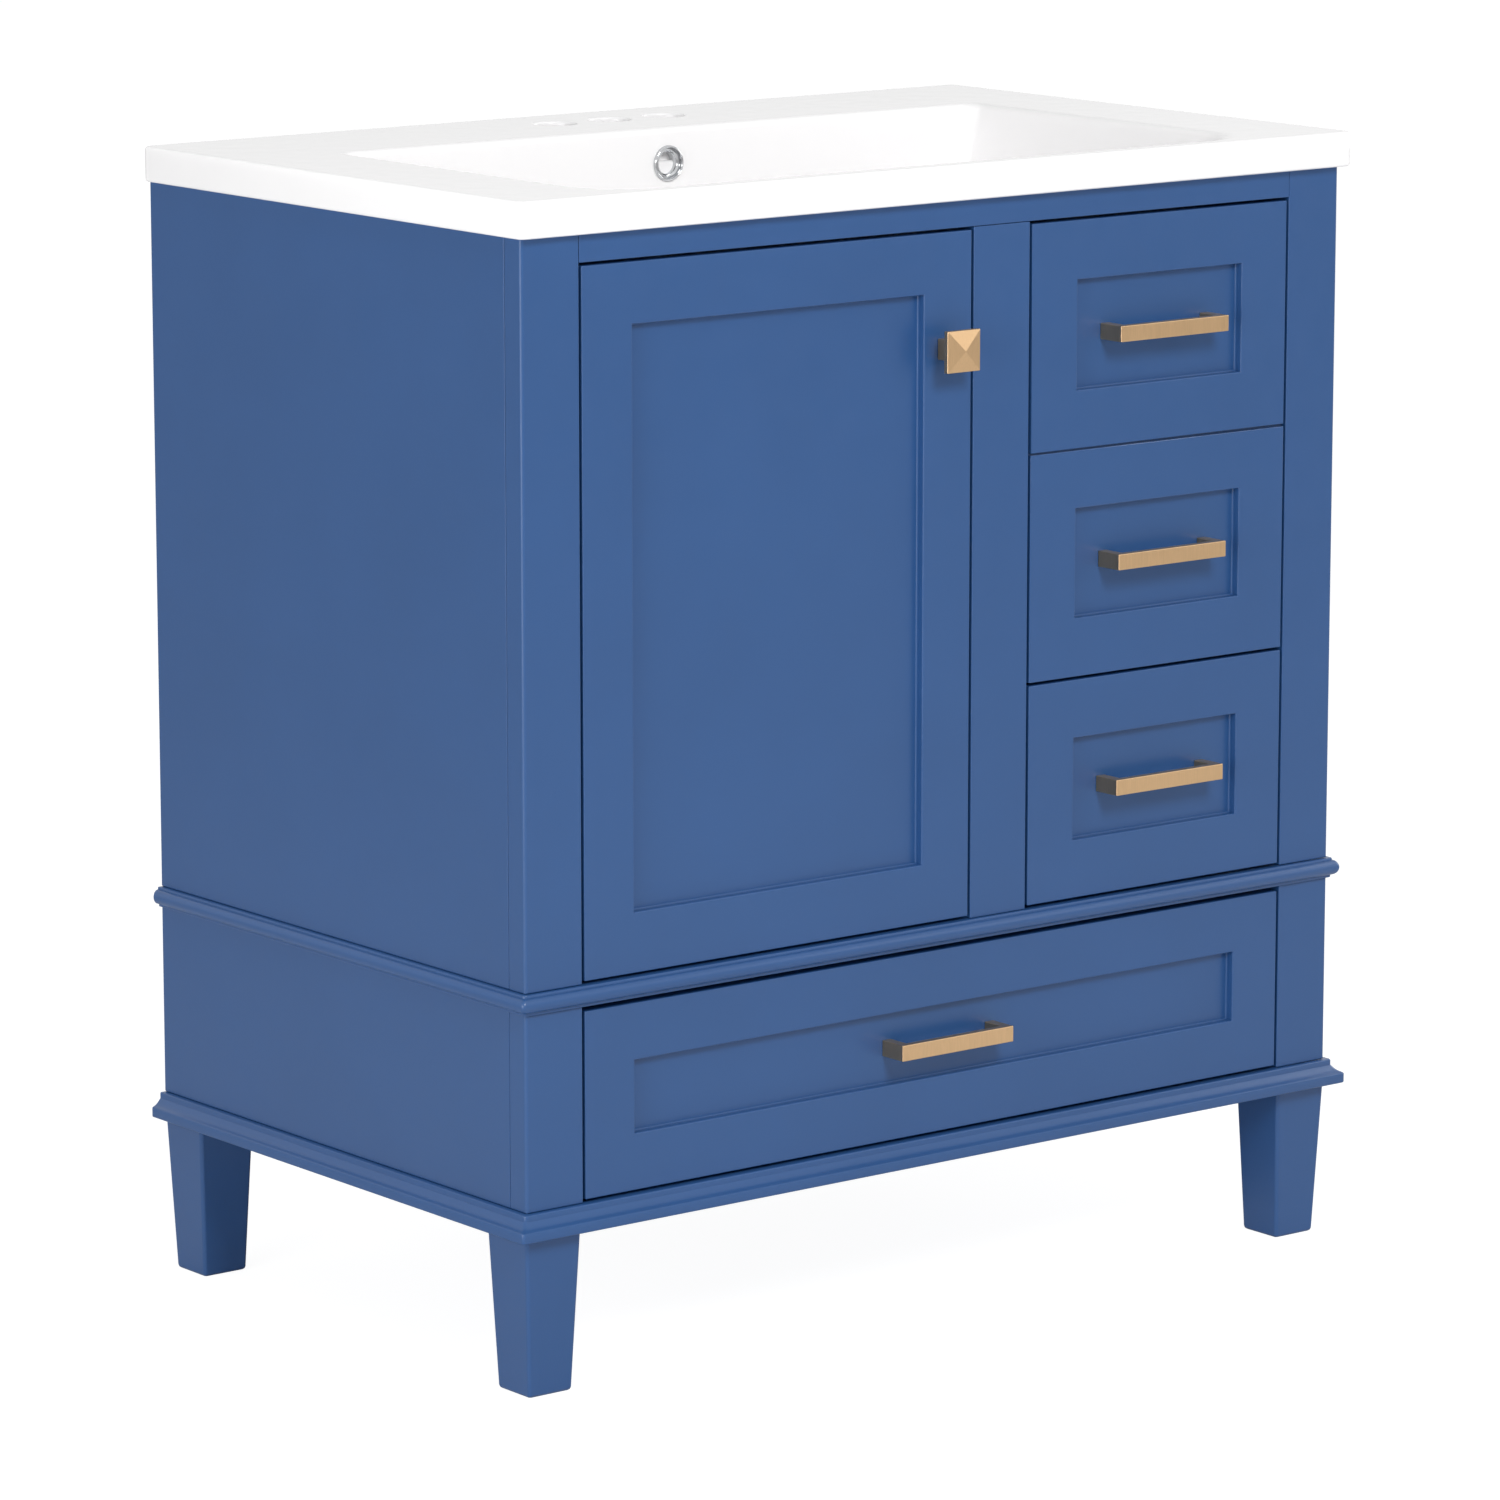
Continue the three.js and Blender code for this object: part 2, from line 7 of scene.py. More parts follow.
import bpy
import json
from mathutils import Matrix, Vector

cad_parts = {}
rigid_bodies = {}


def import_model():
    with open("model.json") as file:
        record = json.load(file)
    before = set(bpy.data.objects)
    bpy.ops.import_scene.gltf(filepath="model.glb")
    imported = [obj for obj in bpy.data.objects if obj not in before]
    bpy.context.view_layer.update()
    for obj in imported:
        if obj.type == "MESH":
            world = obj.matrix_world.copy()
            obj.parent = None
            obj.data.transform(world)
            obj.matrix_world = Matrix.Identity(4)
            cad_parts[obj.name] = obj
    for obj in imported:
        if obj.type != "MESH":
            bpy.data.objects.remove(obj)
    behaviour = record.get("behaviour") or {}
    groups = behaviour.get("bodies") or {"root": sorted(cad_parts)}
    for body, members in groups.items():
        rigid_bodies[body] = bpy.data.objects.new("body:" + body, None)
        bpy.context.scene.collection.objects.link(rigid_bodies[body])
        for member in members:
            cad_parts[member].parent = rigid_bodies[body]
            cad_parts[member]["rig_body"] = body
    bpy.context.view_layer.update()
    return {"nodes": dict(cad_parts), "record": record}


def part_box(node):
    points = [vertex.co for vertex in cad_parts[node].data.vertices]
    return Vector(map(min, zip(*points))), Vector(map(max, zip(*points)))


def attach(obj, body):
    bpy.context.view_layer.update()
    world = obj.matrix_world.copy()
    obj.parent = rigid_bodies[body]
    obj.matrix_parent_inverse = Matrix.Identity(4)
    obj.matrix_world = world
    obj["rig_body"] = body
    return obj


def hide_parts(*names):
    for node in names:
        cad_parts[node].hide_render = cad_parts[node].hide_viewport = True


bl_info = {
    "name": "Bathroom Vanity Cabinet",
    "version": (1, 0, 0),
    "blender": (4, 5, 0),
    "location": "3D View > Sidebar > Vanity",
    "description": "Builds the pieces, finishes and stage of a painted bathroom vanity cabinet",
    "category": "Add Mesh",
}

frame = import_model()

import json
import math

import bmesh
import bpy
from bpy.props import FloatProperty, FloatVectorProperty, PointerProperty
from mathutils import Matrix, Vector

NEAR = 1e-5  # places closer than this are one
SEAM = 0.0003  # left between pieces that touch
WIDEST_ROUND = 0.006  # an edge weight of 1 rounds an edge by this much
EDGE_WEIGHT = "bevel_weight_edge"
SHARP = math.radians(30)  # a surface that turns by more than this has an edge there
AXES = "xyz"

LEFT_AND_RIGHT = ("left", "right")
DRAWERS = ("upper_drawer", "lower_drawer", "bottom_drawer")
FRONT_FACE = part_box("upper_post_left")[0].y  # plane of the face frame, the door and the drawers


# Settings ----------------------------------------------------------------------------------------


def length(name, description, default):
    """A size in metres."""
    return FloatProperty(
        name=name, description=description, default=default, min=0.0, unit="LENGTH", precision=4
    )


def colour(name, description, default):
    """A colour, linear RGB."""
    return FloatVectorProperty(
        name=name, description=description, default=default, subtype="COLOR", size=3,
        min=0.0, max=1.0,
    )


def power(name, description, default):
    """A lamp's power in watts."""
    return FloatProperty(name=name, description=description, default=default, unit="POWER")


def angle(name, description, degrees):
    """An angle, given in degrees."""
    return FloatProperty(
        name=name, description=description, default=math.radians(degrees), subtype="ANGLE"
    )


class VanityShapes(bpy.types.PropertyGroup):
    """Sizes that the frame doesn't say."""

    outer_arris: length("Outer arris", "Rounding of the posts' outer corners and the legs", 0.0028)
    arris: length("Arris", "Rounding of the boards' visible edges", 0.0008)
    joint_arris: length("Joint arris", "Rounding of edges that meet another board", 0.0004)
    foot_round: length("Foot rounding", "Rounding under the legs", 0.003)
    front_margin: length("Front margin", "Flat border round a recessed panel", 0.0433)
    bottom_margin: length(
        "Bottom drawer margin", "Border above and below the bottom drawer's panel", 0.041
    )
    recess_depth: length("Recess depth", "How far a panel lies behind its border", 0.007)
    recess_round: length(
        "Recess rounding", "Rounding of the border's inner edge and of the panel's foot", 0.0012
    )
    groove_height: length(
        "Groove height", "Middle of the false gap across the upper drawer's front", 0.625
    )
    groove_width: length("Groove width", "Width of the false gap", 0.0014)
    groove_depth: length("Groove depth", "Depth of the false gap", 0.003)
    groove_arris: length("Groove arris", "Rounding of the false gap's edges", 0.0003)
    brass_arris: length("Brass arris", "Rounding of the knob's and pulls' edges", 0.0006)
    rim_round: length("Basin rim", "Rounding of the basin's mouth", 0.004)
    slab_round: length("Slab edge", "Rounding of the slab's top and bottom edges", 0.0022)


class VanityFinishes(bpy.types.PropertyGroup):
    """Colours of the finishes."""

    paint: colour("Paint", "Satin blue paint of the carcass and fronts", (0.022, 0.078, 0.221))
    glaze: colour("Glaze", "Basin top", (0.93, 0.923, 0.926))
    brass: colour("Brass", "Knob and pulls", (0.66, 0.44, 0.245))
    chrome: colour("Chrome", "Overflow ring", (0.56, 0.57, 0.585))
    board: colour("Board", "Drawer boxes, partition and packing boards", (0.66, 0.50, 0.31))
    steel: colour("Steel", "Hinges, slides and screws", (0.55, 0.57, 0.60))


class VanityStage(bpy.types.PropertyGroup):
    """Camera, floor and lamps."""

    turn: angle("Camera turn", "Heading of the camera, from +Y towards +X", 38.05)
    dip: angle("Camera dip", "How far the camera looks down", 10.95)
    lens: FloatProperty(
        name="Lens", description="Focal length on a 36 mm sensor", default=165.85, unit="CAMERA"
    )
    stand: FloatVectorProperty(
        name="Camera place", description="Where the camera stands",
        default=(-3.1136, -3.9662, 1.3609), subtype="XYZ", unit="LENGTH", size=3,
    )
    floor: colour("Floor", "Floor under the cabinet", (0.88, 0.88, 0.88))
    key: power("Key lamp", "Power of the lamp above the front", 79.0)
    fill: power("Fill lamp", "Power of the lamp at the left", 48.0)
    top: power("Top lamp", "Power of the weak lamp overhead", 2.0)
    side: power("Side lamp", "Power of the lamp at the right", 22.0)
    bounce: power("Bounce lamp", "Power of the weak lamp before the right corner", 6.0)
    sky: FloatProperty(
        name="Sky", description="Strength of the even light from all round", default=0.4
    )


# Working a mesh ----------------------------------------------------------------------------------


def new_mesh():
    """An empty mesh whose edges can be marked for rounding."""
    bm = bmesh.new()
    bm.edges.layers.float.new(EDGE_WEIGHT)
    return bm


def add_block(bm, low, high):
    """Add a rectangular block between two corners, and give its vertices."""
    low, high = Vector(low), Vector(high)
    verts = bmesh.ops.create_cube(bm, size=1.0)["verts"]
    bmesh.ops.scale(bm, vec=high - low, verts=verts)
    bmesh.ops.translate(bm, vec=(low + high) / 2, verts=verts)
    return verts


def block(low, high):
    """A new mesh that holds one rectangular block."""
    bm = new_mesh()
    add_block(bm, low, high)
    return bm


def add_run(bm, section, axis, start, end):
    """Add a solid whose section runs along an axis, and give its faces.

    The section's points are given by the other two axes, in order.
    """
    others = set(bm.faces)
    along = AXES.index(axis)
    corners = []
    for pair in section:
        corner = list(pair)
        corner.insert(along, start)
        corners.append(bm.verts.new(corner))
    offset = Vector()
    offset[along] = end - start
    pushed(bm, [bm.faces.new(corners)], offset)
    faces = [face for face in bm.faces if face not in others]
    bmesh.ops.recalc_face_normals(bm, faces=faces)
    return faces


def run_of(section, axis, start, end):
    """A new mesh that holds one run of a section."""
    bm = new_mesh()
    add_run(bm, section, axis, start, end)
    return bm


def add_turned(bm, profile, place, steps=40):
    """Turn a profile of (radius, back) about an axis that runs to the back.

    A profile that doesn't start and end on the axis is closed first.
    """
    others = set(bm.verts)
    verts = [bm.verts.new((place.x + radius, place.y + back, place.z)) for radius, back in profile]
    edges = [bm.edges.new(pair) for pair in zip(verts, verts[1:])]
    if profile[0][0] > 0:
        edges.append(bm.edges.new((verts[-1], verts[0])))
    bmesh.ops.spin(
        bm, geom=verts + edges, cent=place, axis=(0, 1, 0), angle=2 * math.pi, steps=steps,
        use_merge=True,
    )
    turned = [vert for vert in bm.verts if vert not in others]
    bmesh.ops.remove_doubles(bm, verts=turned, dist=NEAR)


def add_disc(bm, front_radius, back_radius, height, matrix):
    """Add a round plug, and give its edges."""
    verts = bmesh.ops.create_cone(
        bm, cap_ends=True, segments=20, radius1=front_radius, radius2=back_radius, depth=height,
        matrix=matrix,
    )["verts"]
    return edges_of_verts(verts)


def ring_of(bm, x, y, z, radius, segments, axis="z"):
    """Edges of a circle about an upright axis, or about one that runs to the back."""
    tilt = Matrix.Rotation(math.pi / 2, 4, "X") if axis == "y" else Matrix.Identity(4)
    place = Matrix.Translation((x, y, z))
    verts = bmesh.ops.create_circle(bm, segments=segments, radius=radius, matrix=place @ tilt)
    return edges_of_verts(verts["verts"])


def lies_at(vert, place):
    """Whether a vertex lies at coordinates such as {"x": 0.1, "z": 0.2}."""
    return all(abs(vert.co[AXES.index(axis)] - value) < NEAR for axis, value in place.items())


def edges_at(bm, **place):
    """Edges that lie wholly at the given coordinates, such as x=0.1, z=0.2."""
    return [edge for edge in bm.edges if all(lies_at(vert, place) for vert in edge.verts)]


def faces_at(bm, **place):
    """Faces that lie wholly at the given coordinate."""
    return [face for face in bm.faces if all(lies_at(vert, place) for vert in face.verts)]


def runs_along(edge, axis):
    """Whether an edge's two ends lie apart along an axis."""
    first, second = (vert.co[AXES.index(axis)] for vert in edge.verts)
    return abs(first - second) > NEAR


def once(elements):
    """The elements in order, each of them once."""
    return list(dict.fromkeys(elements))


def edges_of_verts(verts):
    return once(edge for vert in verts for edge in vert.link_edges)


def edges_of_faces(faces):
    return once(edge for face in faces for edge in face.edges)


def new_of(result, kind):
    """The new elements of one kind in what a bmesh operator gives back."""
    return [element for element in result["geom"] if isinstance(element, kind)]


def sharp_edges(bm):
    """Edges where the surface turns sharply."""
    return [e for e in bm.edges if len(e.link_faces) == 2 and e.calc_face_angle(0) > SHARP]


def ease(bm, edges, radius):
    """Mark edges to be rounded by a radius; the piece's Bevel modifier rounds them."""
    layer = bm.edges.layers.float[EDGE_WEIGHT]
    for edge in edges:
        edge[layer] = radius / WIDEST_ROUND


def pushed(bm, faces, offset=(0, 0, 0)):
    """Extrude faces by an offset and give the moved faces."""
    region = once(part for face in faces for part in (face, *face.edges, *face.verts))
    result = bmesh.ops.extrude_face_region(bm, geom=region)
    bmesh.ops.translate(bm, vec=offset, verts=new_of(result, bmesh.types.BMVert))
    return new_of(result, bmesh.types.BMFace)


def quarter(radius, steps=4):
    """A quarter turn from level to upright, as (outward, down) from where it begins."""
    angles = [step / steps * math.pi / 2 for step in range(1, steps + 1)]
    return [(radius * math.sin(a), radius * (1 - math.cos(a))) for a in angles]


def arc_points(centre, reach, start, end, steps):
    """Points of an arc as (out, up), from its centre, its (out, up) radii and angles in degrees."""
    angles = [math.radians(start + (end - start) * step / steps) for step in range(steps + 1)]
    (x, y), (wide, high) = centre, reach
    return [(x + wide * math.cos(a), y + high * math.sin(a)) for a in angles]


def piece(bm, node, material, rounds=3):
    """Make a mesh the object that stands for a CAD node, with its marked edges rounded."""
    bmesh.ops.recalc_face_normals(bm, faces=bm.faces)
    layer = bm.edges.layers.float[EDGE_WEIGHT]
    for face in bm.faces:
        face.smooth = True
    for edge in sharp_edges(bm):
        edge.smooth = edge[layer] > 0
    name = f"finished_{node}"
    mesh = bpy.data.meshes.new(name)
    bm.to_mesh(mesh)
    bm.free()
    made = bpy.data.objects.new(name, mesh)
    bpy.context.scene.collection.objects.link(made)
    mesh.materials.append(material)
    if any(weight.value for weight in mesh.attributes[EDGE_WEIGHT].data):
        bevel = made.modifiers.new("eased edges", "BEVEL")
        bevel.limit_method = "WEIGHT"
        bevel.width = WIDEST_ROUND
        bevel.segments = rounds
        bevel.harden_normals = True
        bevel.use_clamp_overlap = False
    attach(made, frame["nodes"][node]["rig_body"])
    slot_of(material)
    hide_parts(node)


def board(node, material, plain_round, rounded=()):
    """A board in a CAD node's box. rounded holds (radius, coordinates) for other roundings."""
    low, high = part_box(node)
    bm = block(low, high)
    ease(bm, bm.edges, plain_round)
    for radius, place in rounded:
        ease(bm, edges_at(bm, **place), radius)
    piece(bm, node, material)


def nodes_named(part):
    """The CAD nodes whose names hold a word."""
    return [node for node in frame["nodes"] if part in node]


# Finishes ----------------------------------------------------------------------------------------


class Shading:
    """A material's node tree, with short ways to add nodes to it."""

    first_colour, second_colour, mixed_colour = 6, 7, 2  # a Mix node's sockets that hold colours

    def __init__(self, name):
        self.material = bpy.data.materials.new(name)
        self.material.use_nodes = True
        self.tree = self.material.node_tree
        self.shader = self.tree.nodes["Principled BSDF"]
        self.place = self.add("ShaderNodeTexCoord").outputs["Object"]

    def add(self, kind, **settings):
        """Add a node and set its properties."""
        node = self.tree.nodes.new(kind)
        for key, value in settings.items():
            setattr(node, key, value)
        return node

    def link(self, source, target):
        self.tree.links.new(source, target)

    def feed(self, source, name):
        """Link a value or colour to one of the shader's sockets."""
        self.link(source, self.shader.inputs[name])

    def fix(self, name, value):
        """Set one of the shader's sockets to a constant."""
        self.shader.inputs[name].default_value = value

    def stretched(self, scale):
        """Object coordinates scaled per axis."""
        mapping = self.add("ShaderNodeMapping")
        mapping.inputs["Scale"].default_value = scale
        self.link(self.place, mapping.inputs["Vector"])
        return mapping.outputs["Vector"]

    def noise(self, scale, detail=2.0, roughness=0.5, stretch=None):
        """Noise in object coordinates, or in stretched ones."""
        texture = self.add("ShaderNodeTexNoise")
        texture.inputs["Scale"].default_value = scale
        texture.inputs["Detail"].default_value = detail
        texture.inputs["Roughness"].default_value = roughness
        place = self.stretched(stretch) if stretch else self.place
        self.link(place, texture.inputs["Vector"])
        return texture.outputs["Fac"]

    def ranged(self, value, low, high, start=0.25, end=0.75):
        """A value from start..end mapped to low..high."""
        node = self.add("ShaderNodeMapRange")
        node.inputs["From Min"].default_value = start
        node.inputs["From Max"].default_value = end
        node.inputs["To Min"].default_value = low
        node.inputs["To Max"].default_value = high
        self.link(value, node.inputs["Value"])
        return node.outputs["Result"]

    def blended(self, share, first, second):
        """Two colours mixed by a share; each is a colour or a socket that gives one."""
        node = self.add("ShaderNodeMix", data_type="RGBA")
        self.link(share, node.inputs["Factor"])
        for index, value in ((self.first_colour, first), (self.second_colour, second)):
            if isinstance(value, bpy.types.NodeSocket):
                self.link(value, node.inputs[index])
            else:
                node.inputs[index].default_value = (*value, 1.0)
        return node.outputs[self.mixed_colour]

    def tint(self, share, base, darker, lighter):
        """Give the shader a colour that wavers between two shades of a base."""
        mixed = self.blended(share, shade(base, darker), shade(base, lighter))
        self.feed(mixed, "Base Color")

    def rough(self, value, low, high):
        """Give the shader a roughness that wavers with a value."""
        self.feed(self.ranged(value, low, high), "Roughness")

    def bumps(self, *layers):
        """Stack bumps, each (height, depth in metres), onto the shader's normal."""
        normal = None
        for height, depth in layers:
            bump = self.add("ShaderNodeBump")
            bump.inputs["Distance"].default_value = depth
            self.link(height, bump.inputs["Height"])
            if normal:
                self.link(normal, bump.inputs["Normal"])
            normal = bump.outputs["Normal"]
        self.feed(normal, "Normal")


def shade(base, factor):
    """A colour made lighter or darker."""
    return tuple(min(1.0, channel * factor) for channel in base)


def blue_paint(colours):
    """Satin lacquer sprayed on board: even colour, a trace of mottling and a fine orange peel."""
    paint = Shading("blue_paint")
    mottle = paint.ranged(paint.noise(9.0, detail=3.0), 0.0, 1.0)
    paint.tint(mottle, colours.paint, 0.965, 1.035)
    paint.rough(paint.noise(60.0), 0.29, 0.35)
    waves, peel = paint.noise(14.0, detail=1.0), paint.noise(420.0, detail=1.0)
    paint.bumps((waves, 0.00035), (peel, 0.000012))
    return paint.material


def white_glaze(colours):
    """Glossy white basin material with faint waves in its surface."""
    glaze = Shading("white_glaze")
    cloud = glaze.ranged(glaze.noise(5.0), 0.0, 1.0)
    glaze.tint(cloud, colours.glaze, 0.992, 1.0)
    glaze.rough(glaze.noise(60.0, detail=1.0), 0.16, 0.19)
    waves, pores = glaze.noise(4.0, detail=0.0), glaze.noise(240.0, detail=1.0)
    glaze.bumps((waves, 0.0001), (pores, 0.000005))
    return glaze.material


def brushed_brass(colours):
    """Brass with fine upright brushing."""
    brass = Shading("brushed_brass")
    brass.fix("Metallic", 1.0)
    strokes = brass.noise(1.0, detail=3.0, roughness=0.6, stretch=(3800.0, 3800.0, 90.0))
    brass.tint(brass.ranged(strokes, 0.0, 1.0), colours.brass, 0.9, 1.08)
    brass.rough(strokes, 0.28, 0.40)
    brass.bumps((strokes, 0.000012))
    return brass.material


def chrome(colours):
    """Polished chrome with faint polishing haze."""
    plate = Shading("chrome")
    plate.fix("Metallic", 1.0)
    haze = plate.noise(260.0)
    plate.tint(haze, colours.chrome, 0.94, 1.0)
    plate.rough(haze, 0.05, 0.11)
    plate.bumps((plate.noise(900.0, detail=1.0), 0.000003))
    return plate.material


def zinc_steel(colours):
    """Zinc-plated pressed steel: bright, with drawn lines and patchy passivation."""
    steel = Shading("zinc_steel")
    steel.fix("Metallic", 1.0)
    drawn = steel.noise(1.0, roughness=0.6, stretch=(2600.0, 50.0, 2600.0))
    patches = steel.ranged(steel.noise(70.0, detail=3.0), 0.0, 1.0)
    steel.tint(patches, colours.steel, 0.88, 1.06)
    steel.rough(drawn, 0.24, 0.38)
    steel.bumps((drawn, 0.000008))
    return steel.material


def birch_board(colours, grain, thickness):
    """Pale birch plywood: long grain on its faces and the plies' stripes on its edges."""
    birch = Shading("birch_board")

    def along_grain(along, across):
        return tuple(along if axis == grain else across for axis in AXES)

    lines = birch.noise(1.0, detail=4.0, roughness=0.55, stretch=along_grain(6.0, 130.0))
    flecks = birch.noise(1.0, detail=1.0, stretch=along_grain(90.0, 1500.0))
    plies = birch.add("ShaderNodeTexWave", wave_type="BANDS", bands_direction=thickness.upper())
    plies.inputs["Scale"].default_value = 105.0
    plies.inputs["Distortion"].default_value = 0.6
    birch.link(birch.place, plies.inputs["Vector"])
    darker, lighter = shade(colours.board, 0.86), shade(colours.board, 1.1)
    face = birch.blended(birch.ranged(lines, 0.0, 1.0), darker, lighter)
    fleck_share = birch.ranged(flecks, 0.0, 0.35, start=0.55, end=0.8)
    flecked = birch.blended(fleck_share, face, shade(colours.board, 0.6))
    ply_share = birch.ranged(plies.outputs["Fac"], 0.0, 0.5, start=0.5, end=0.9)
    birch.feed(birch.blended(ply_share, flecked, shade(colours.board, 0.5)), "Base Color")
    birch.rough(lines, 0.5, 0.62)
    birch.bumps((lines, 0.00006), (flecks, 0.00002))
    return birch.material


FINISHES = {
    "blue_paint": blue_paint,
    "white_glaze": white_glaze,
    "brushed_brass": brushed_brass,
    "chrome": chrome,
    "zinc_steel": zinc_steel,
    "birch_board": birch_board,
}


def finish(slot, *directions):
    """The finish for a material slot, made the first time it is asked for."""
    name = "_".join(["finish", slot, *directions])
    known = bpy.data.materials.get(name)
    if not known:
        known = FINISHES[slot](bpy.context.scene.vanity_finishes, *directions)
        known.name = name
    return known


def slot_of(material):
    """The material slot that a finish is for."""
    return next(slot for slot in FINISHES if material.name.startswith(f"finish_{slot}"))


# Carcass -----------------------------------------------------------------------------------------


def side_x(hand, node, outward):
    """The x of a board's side that faces away from the cabinet's middle, or towards it."""
    low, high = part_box(node)
    return low.x if (hand == "left") == outward else high.x


class VANITY_OT_frame_boards(bpy.types.Operator):
    """Posts, side panels, top rail and centre stile"""

    bl_idname = "vanity.frame_boards"
    bl_label = "Frame Boards"

    def execute(self, context):
        shapes = context.scene.vanity_shapes
        paint = finish("blue_paint")
        for storey in ("lower", "upper"):
            for hand in LEFT_AND_RIGHT:
                post = f"{storey}_post_{hand}"
                corners = [
                    (shapes.outer_arris, {"x": side_x(hand, post, True), "y": FRONT_FACE}),
                    (shapes.arris, {"x": side_x(hand, post, False), "y": FRONT_FACE}),
                ]
                board(post, paint, shapes.arris, corners)
                board(f"{storey}_side_{hand}", paint, shapes.arris)
        underside = {"z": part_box("top_rail")[0].z, "y": FRONT_FACE}
        board("top_rail", paint, shapes.joint_arris, [(shapes.arris, underside)])
        sides = [(shapes.arris, {"x": end.x, "y": FRONT_FACE}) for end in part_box("centre_stile")]
        board("centre_stile", paint, shapes.joint_arris, sides)
        return {"FINISHED"}


def base_edge(thickness):
    """Edge of the base board as (out, up) past the body: foot, shallow hollow slope, plain lip."""
    foot, lip, rounding = 0.0114, 0.0041, 0.001
    slope_start, slope_rise, sag, steps = 0.0078, 0.0057, 0.001, 10
    slope_out = foot - rounding / 2
    edge = arc_points((foot - rounding, rounding), (rounding, rounding), -90, 0, 3)
    edge += arc_points((foot - rounding, slope_start - rounding), (rounding, rounding), 0, 60, 2)
    for step in range(1, steps + 1):
        share = step / steps
        up = slope_start + slope_rise * share - sag * math.sin(share * math.pi)
        edge.append((slope_out - (slope_out - lip) * share, up))
    return edge + arc_points((lip - rounding, thickness - rounding), (rounding, rounding), 0, 90, 3)


def middle_edge(thickness):
    """Edge of the middle board as (out, up) past the body: half-round nose between two fillets."""
    lower_fillet, fillet_rise, upper_fillet, rounding = 0.0024, 0.0021, 0.0031, 0.0005
    nose_centre, nose_reach = (0.0032, 0.0077), (0.004, 0.0054)
    edge = arc_points((lower_fillet - rounding, rounding), (rounding, rounding), -90, 0, 2)
    edge.append((lower_fillet, fillet_rise))
    edge += arc_points(nose_centre, nose_reach, -90, 90, 16)
    top = (upper_fillet - rounding, thickness - rounding)
    return edge + arc_points(top, (rounding, rounding), 0, 90, 2)


def moulded_board(node, edge_of):
    """A board with a moulded edge at the front and both ends, notched behind for the back panel."""
    low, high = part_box(node)
    body_low, body_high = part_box("upper_post_left")[0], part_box("upper_side_right")[1]
    notch_low, notch_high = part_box("back_panel")
    corner = bpy.context.scene.vanity_shapes.outer_arris
    plan = [
        (body_low.x, body_low.y), (body_high.x, body_low.y), (body_high.x, high.y),
        (notch_high.x + SEAM, high.y), (notch_high.x + SEAM, notch_low.y - SEAM),
        (notch_low.x - SEAM, notch_low.y - SEAM), (notch_low.x - SEAM, high.y),
        (body_low.x, high.y),
    ]
    bm = new_mesh()
    verts = [bm.verts.new((x, y, low.z)) for x, y in plan]
    bm.faces.new(verts)
    bmesh.ops.bevel(
        bm, geom=verts[:2], offset=corner, offset_type="OFFSET", segments=4, profile=0.5,
        affect="VERTICES", material=-1,
    )
    faces = bm.faces[:]
    old_out, old_up = 0.0, 0.0
    for index, (out, up) in enumerate(edge_of(high.z - low.z)):
        if index:
            faces = pushed(bm, faces, (0, 0, up - old_up))
        level = once(vert for face in faces for vert in face.verts)
        step = out - old_out
        for way, beyond in (
            ((-step, 0, 0), lambda vert: vert.co.x < body_low.x + corner + NEAR),
            ((step, 0, 0), lambda vert: vert.co.x > body_high.x - corner - NEAR),
            ((0, -step, 0), lambda vert: vert.co.y < body_low.y + corner + NEAR),
        ):
            bmesh.ops.translate(bm, vec=way, verts=[vert for vert in level if beyond(vert)])
        old_out, old_up = out, up
    piece(bm, node, finish("blue_paint"))


class VANITY_OT_moulded_boards(bpy.types.Operator):
    """The base board and the board between the storeys, with their moulded edges"""

    bl_idname = "vanity.moulded_boards"
    bl_label = "Moulded Boards"

    def execute(self, context):
        moulded_board("base_board", base_edge)
        moulded_board("middle_board", middle_edge)
        return {"FINISHED"}


class VANITY_OT_legs(bpy.types.Operator):
    """Four tapered square legs with rounded feet"""

    bl_idname = "vanity.legs"
    bl_label = "Legs"

    foot_share = 37.5 / 47.5  # width at the floor over width at the board

    def execute(self, context):
        shapes = context.scene.vanity_shapes
        for node in [f"leg_{end}_{hand}" for end in ("front", "back") for hand in LEFT_AND_RIGHT]:
            low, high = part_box(node)
            bm = block(low, high)
            foot = [vert for vert in bm.verts if lies_at(vert, {"z": low.z})]
            centre = Matrix.Translation(-(low + high) / 2)
            taper = (self.foot_share, self.foot_share, 1)
            bmesh.ops.scale(bm, vec=taper, space=centre, verts=foot)
            ease(bm, bm.edges, shapes.outer_arris)
            ease(bm, edges_at(bm, z=high.z), shapes.joint_arris)
            ease(bm, edges_at(bm, z=low.z), shapes.foot_round)
            piece(bm, node, finish("blue_paint"), rounds=4)
        return {"FINISHED"}


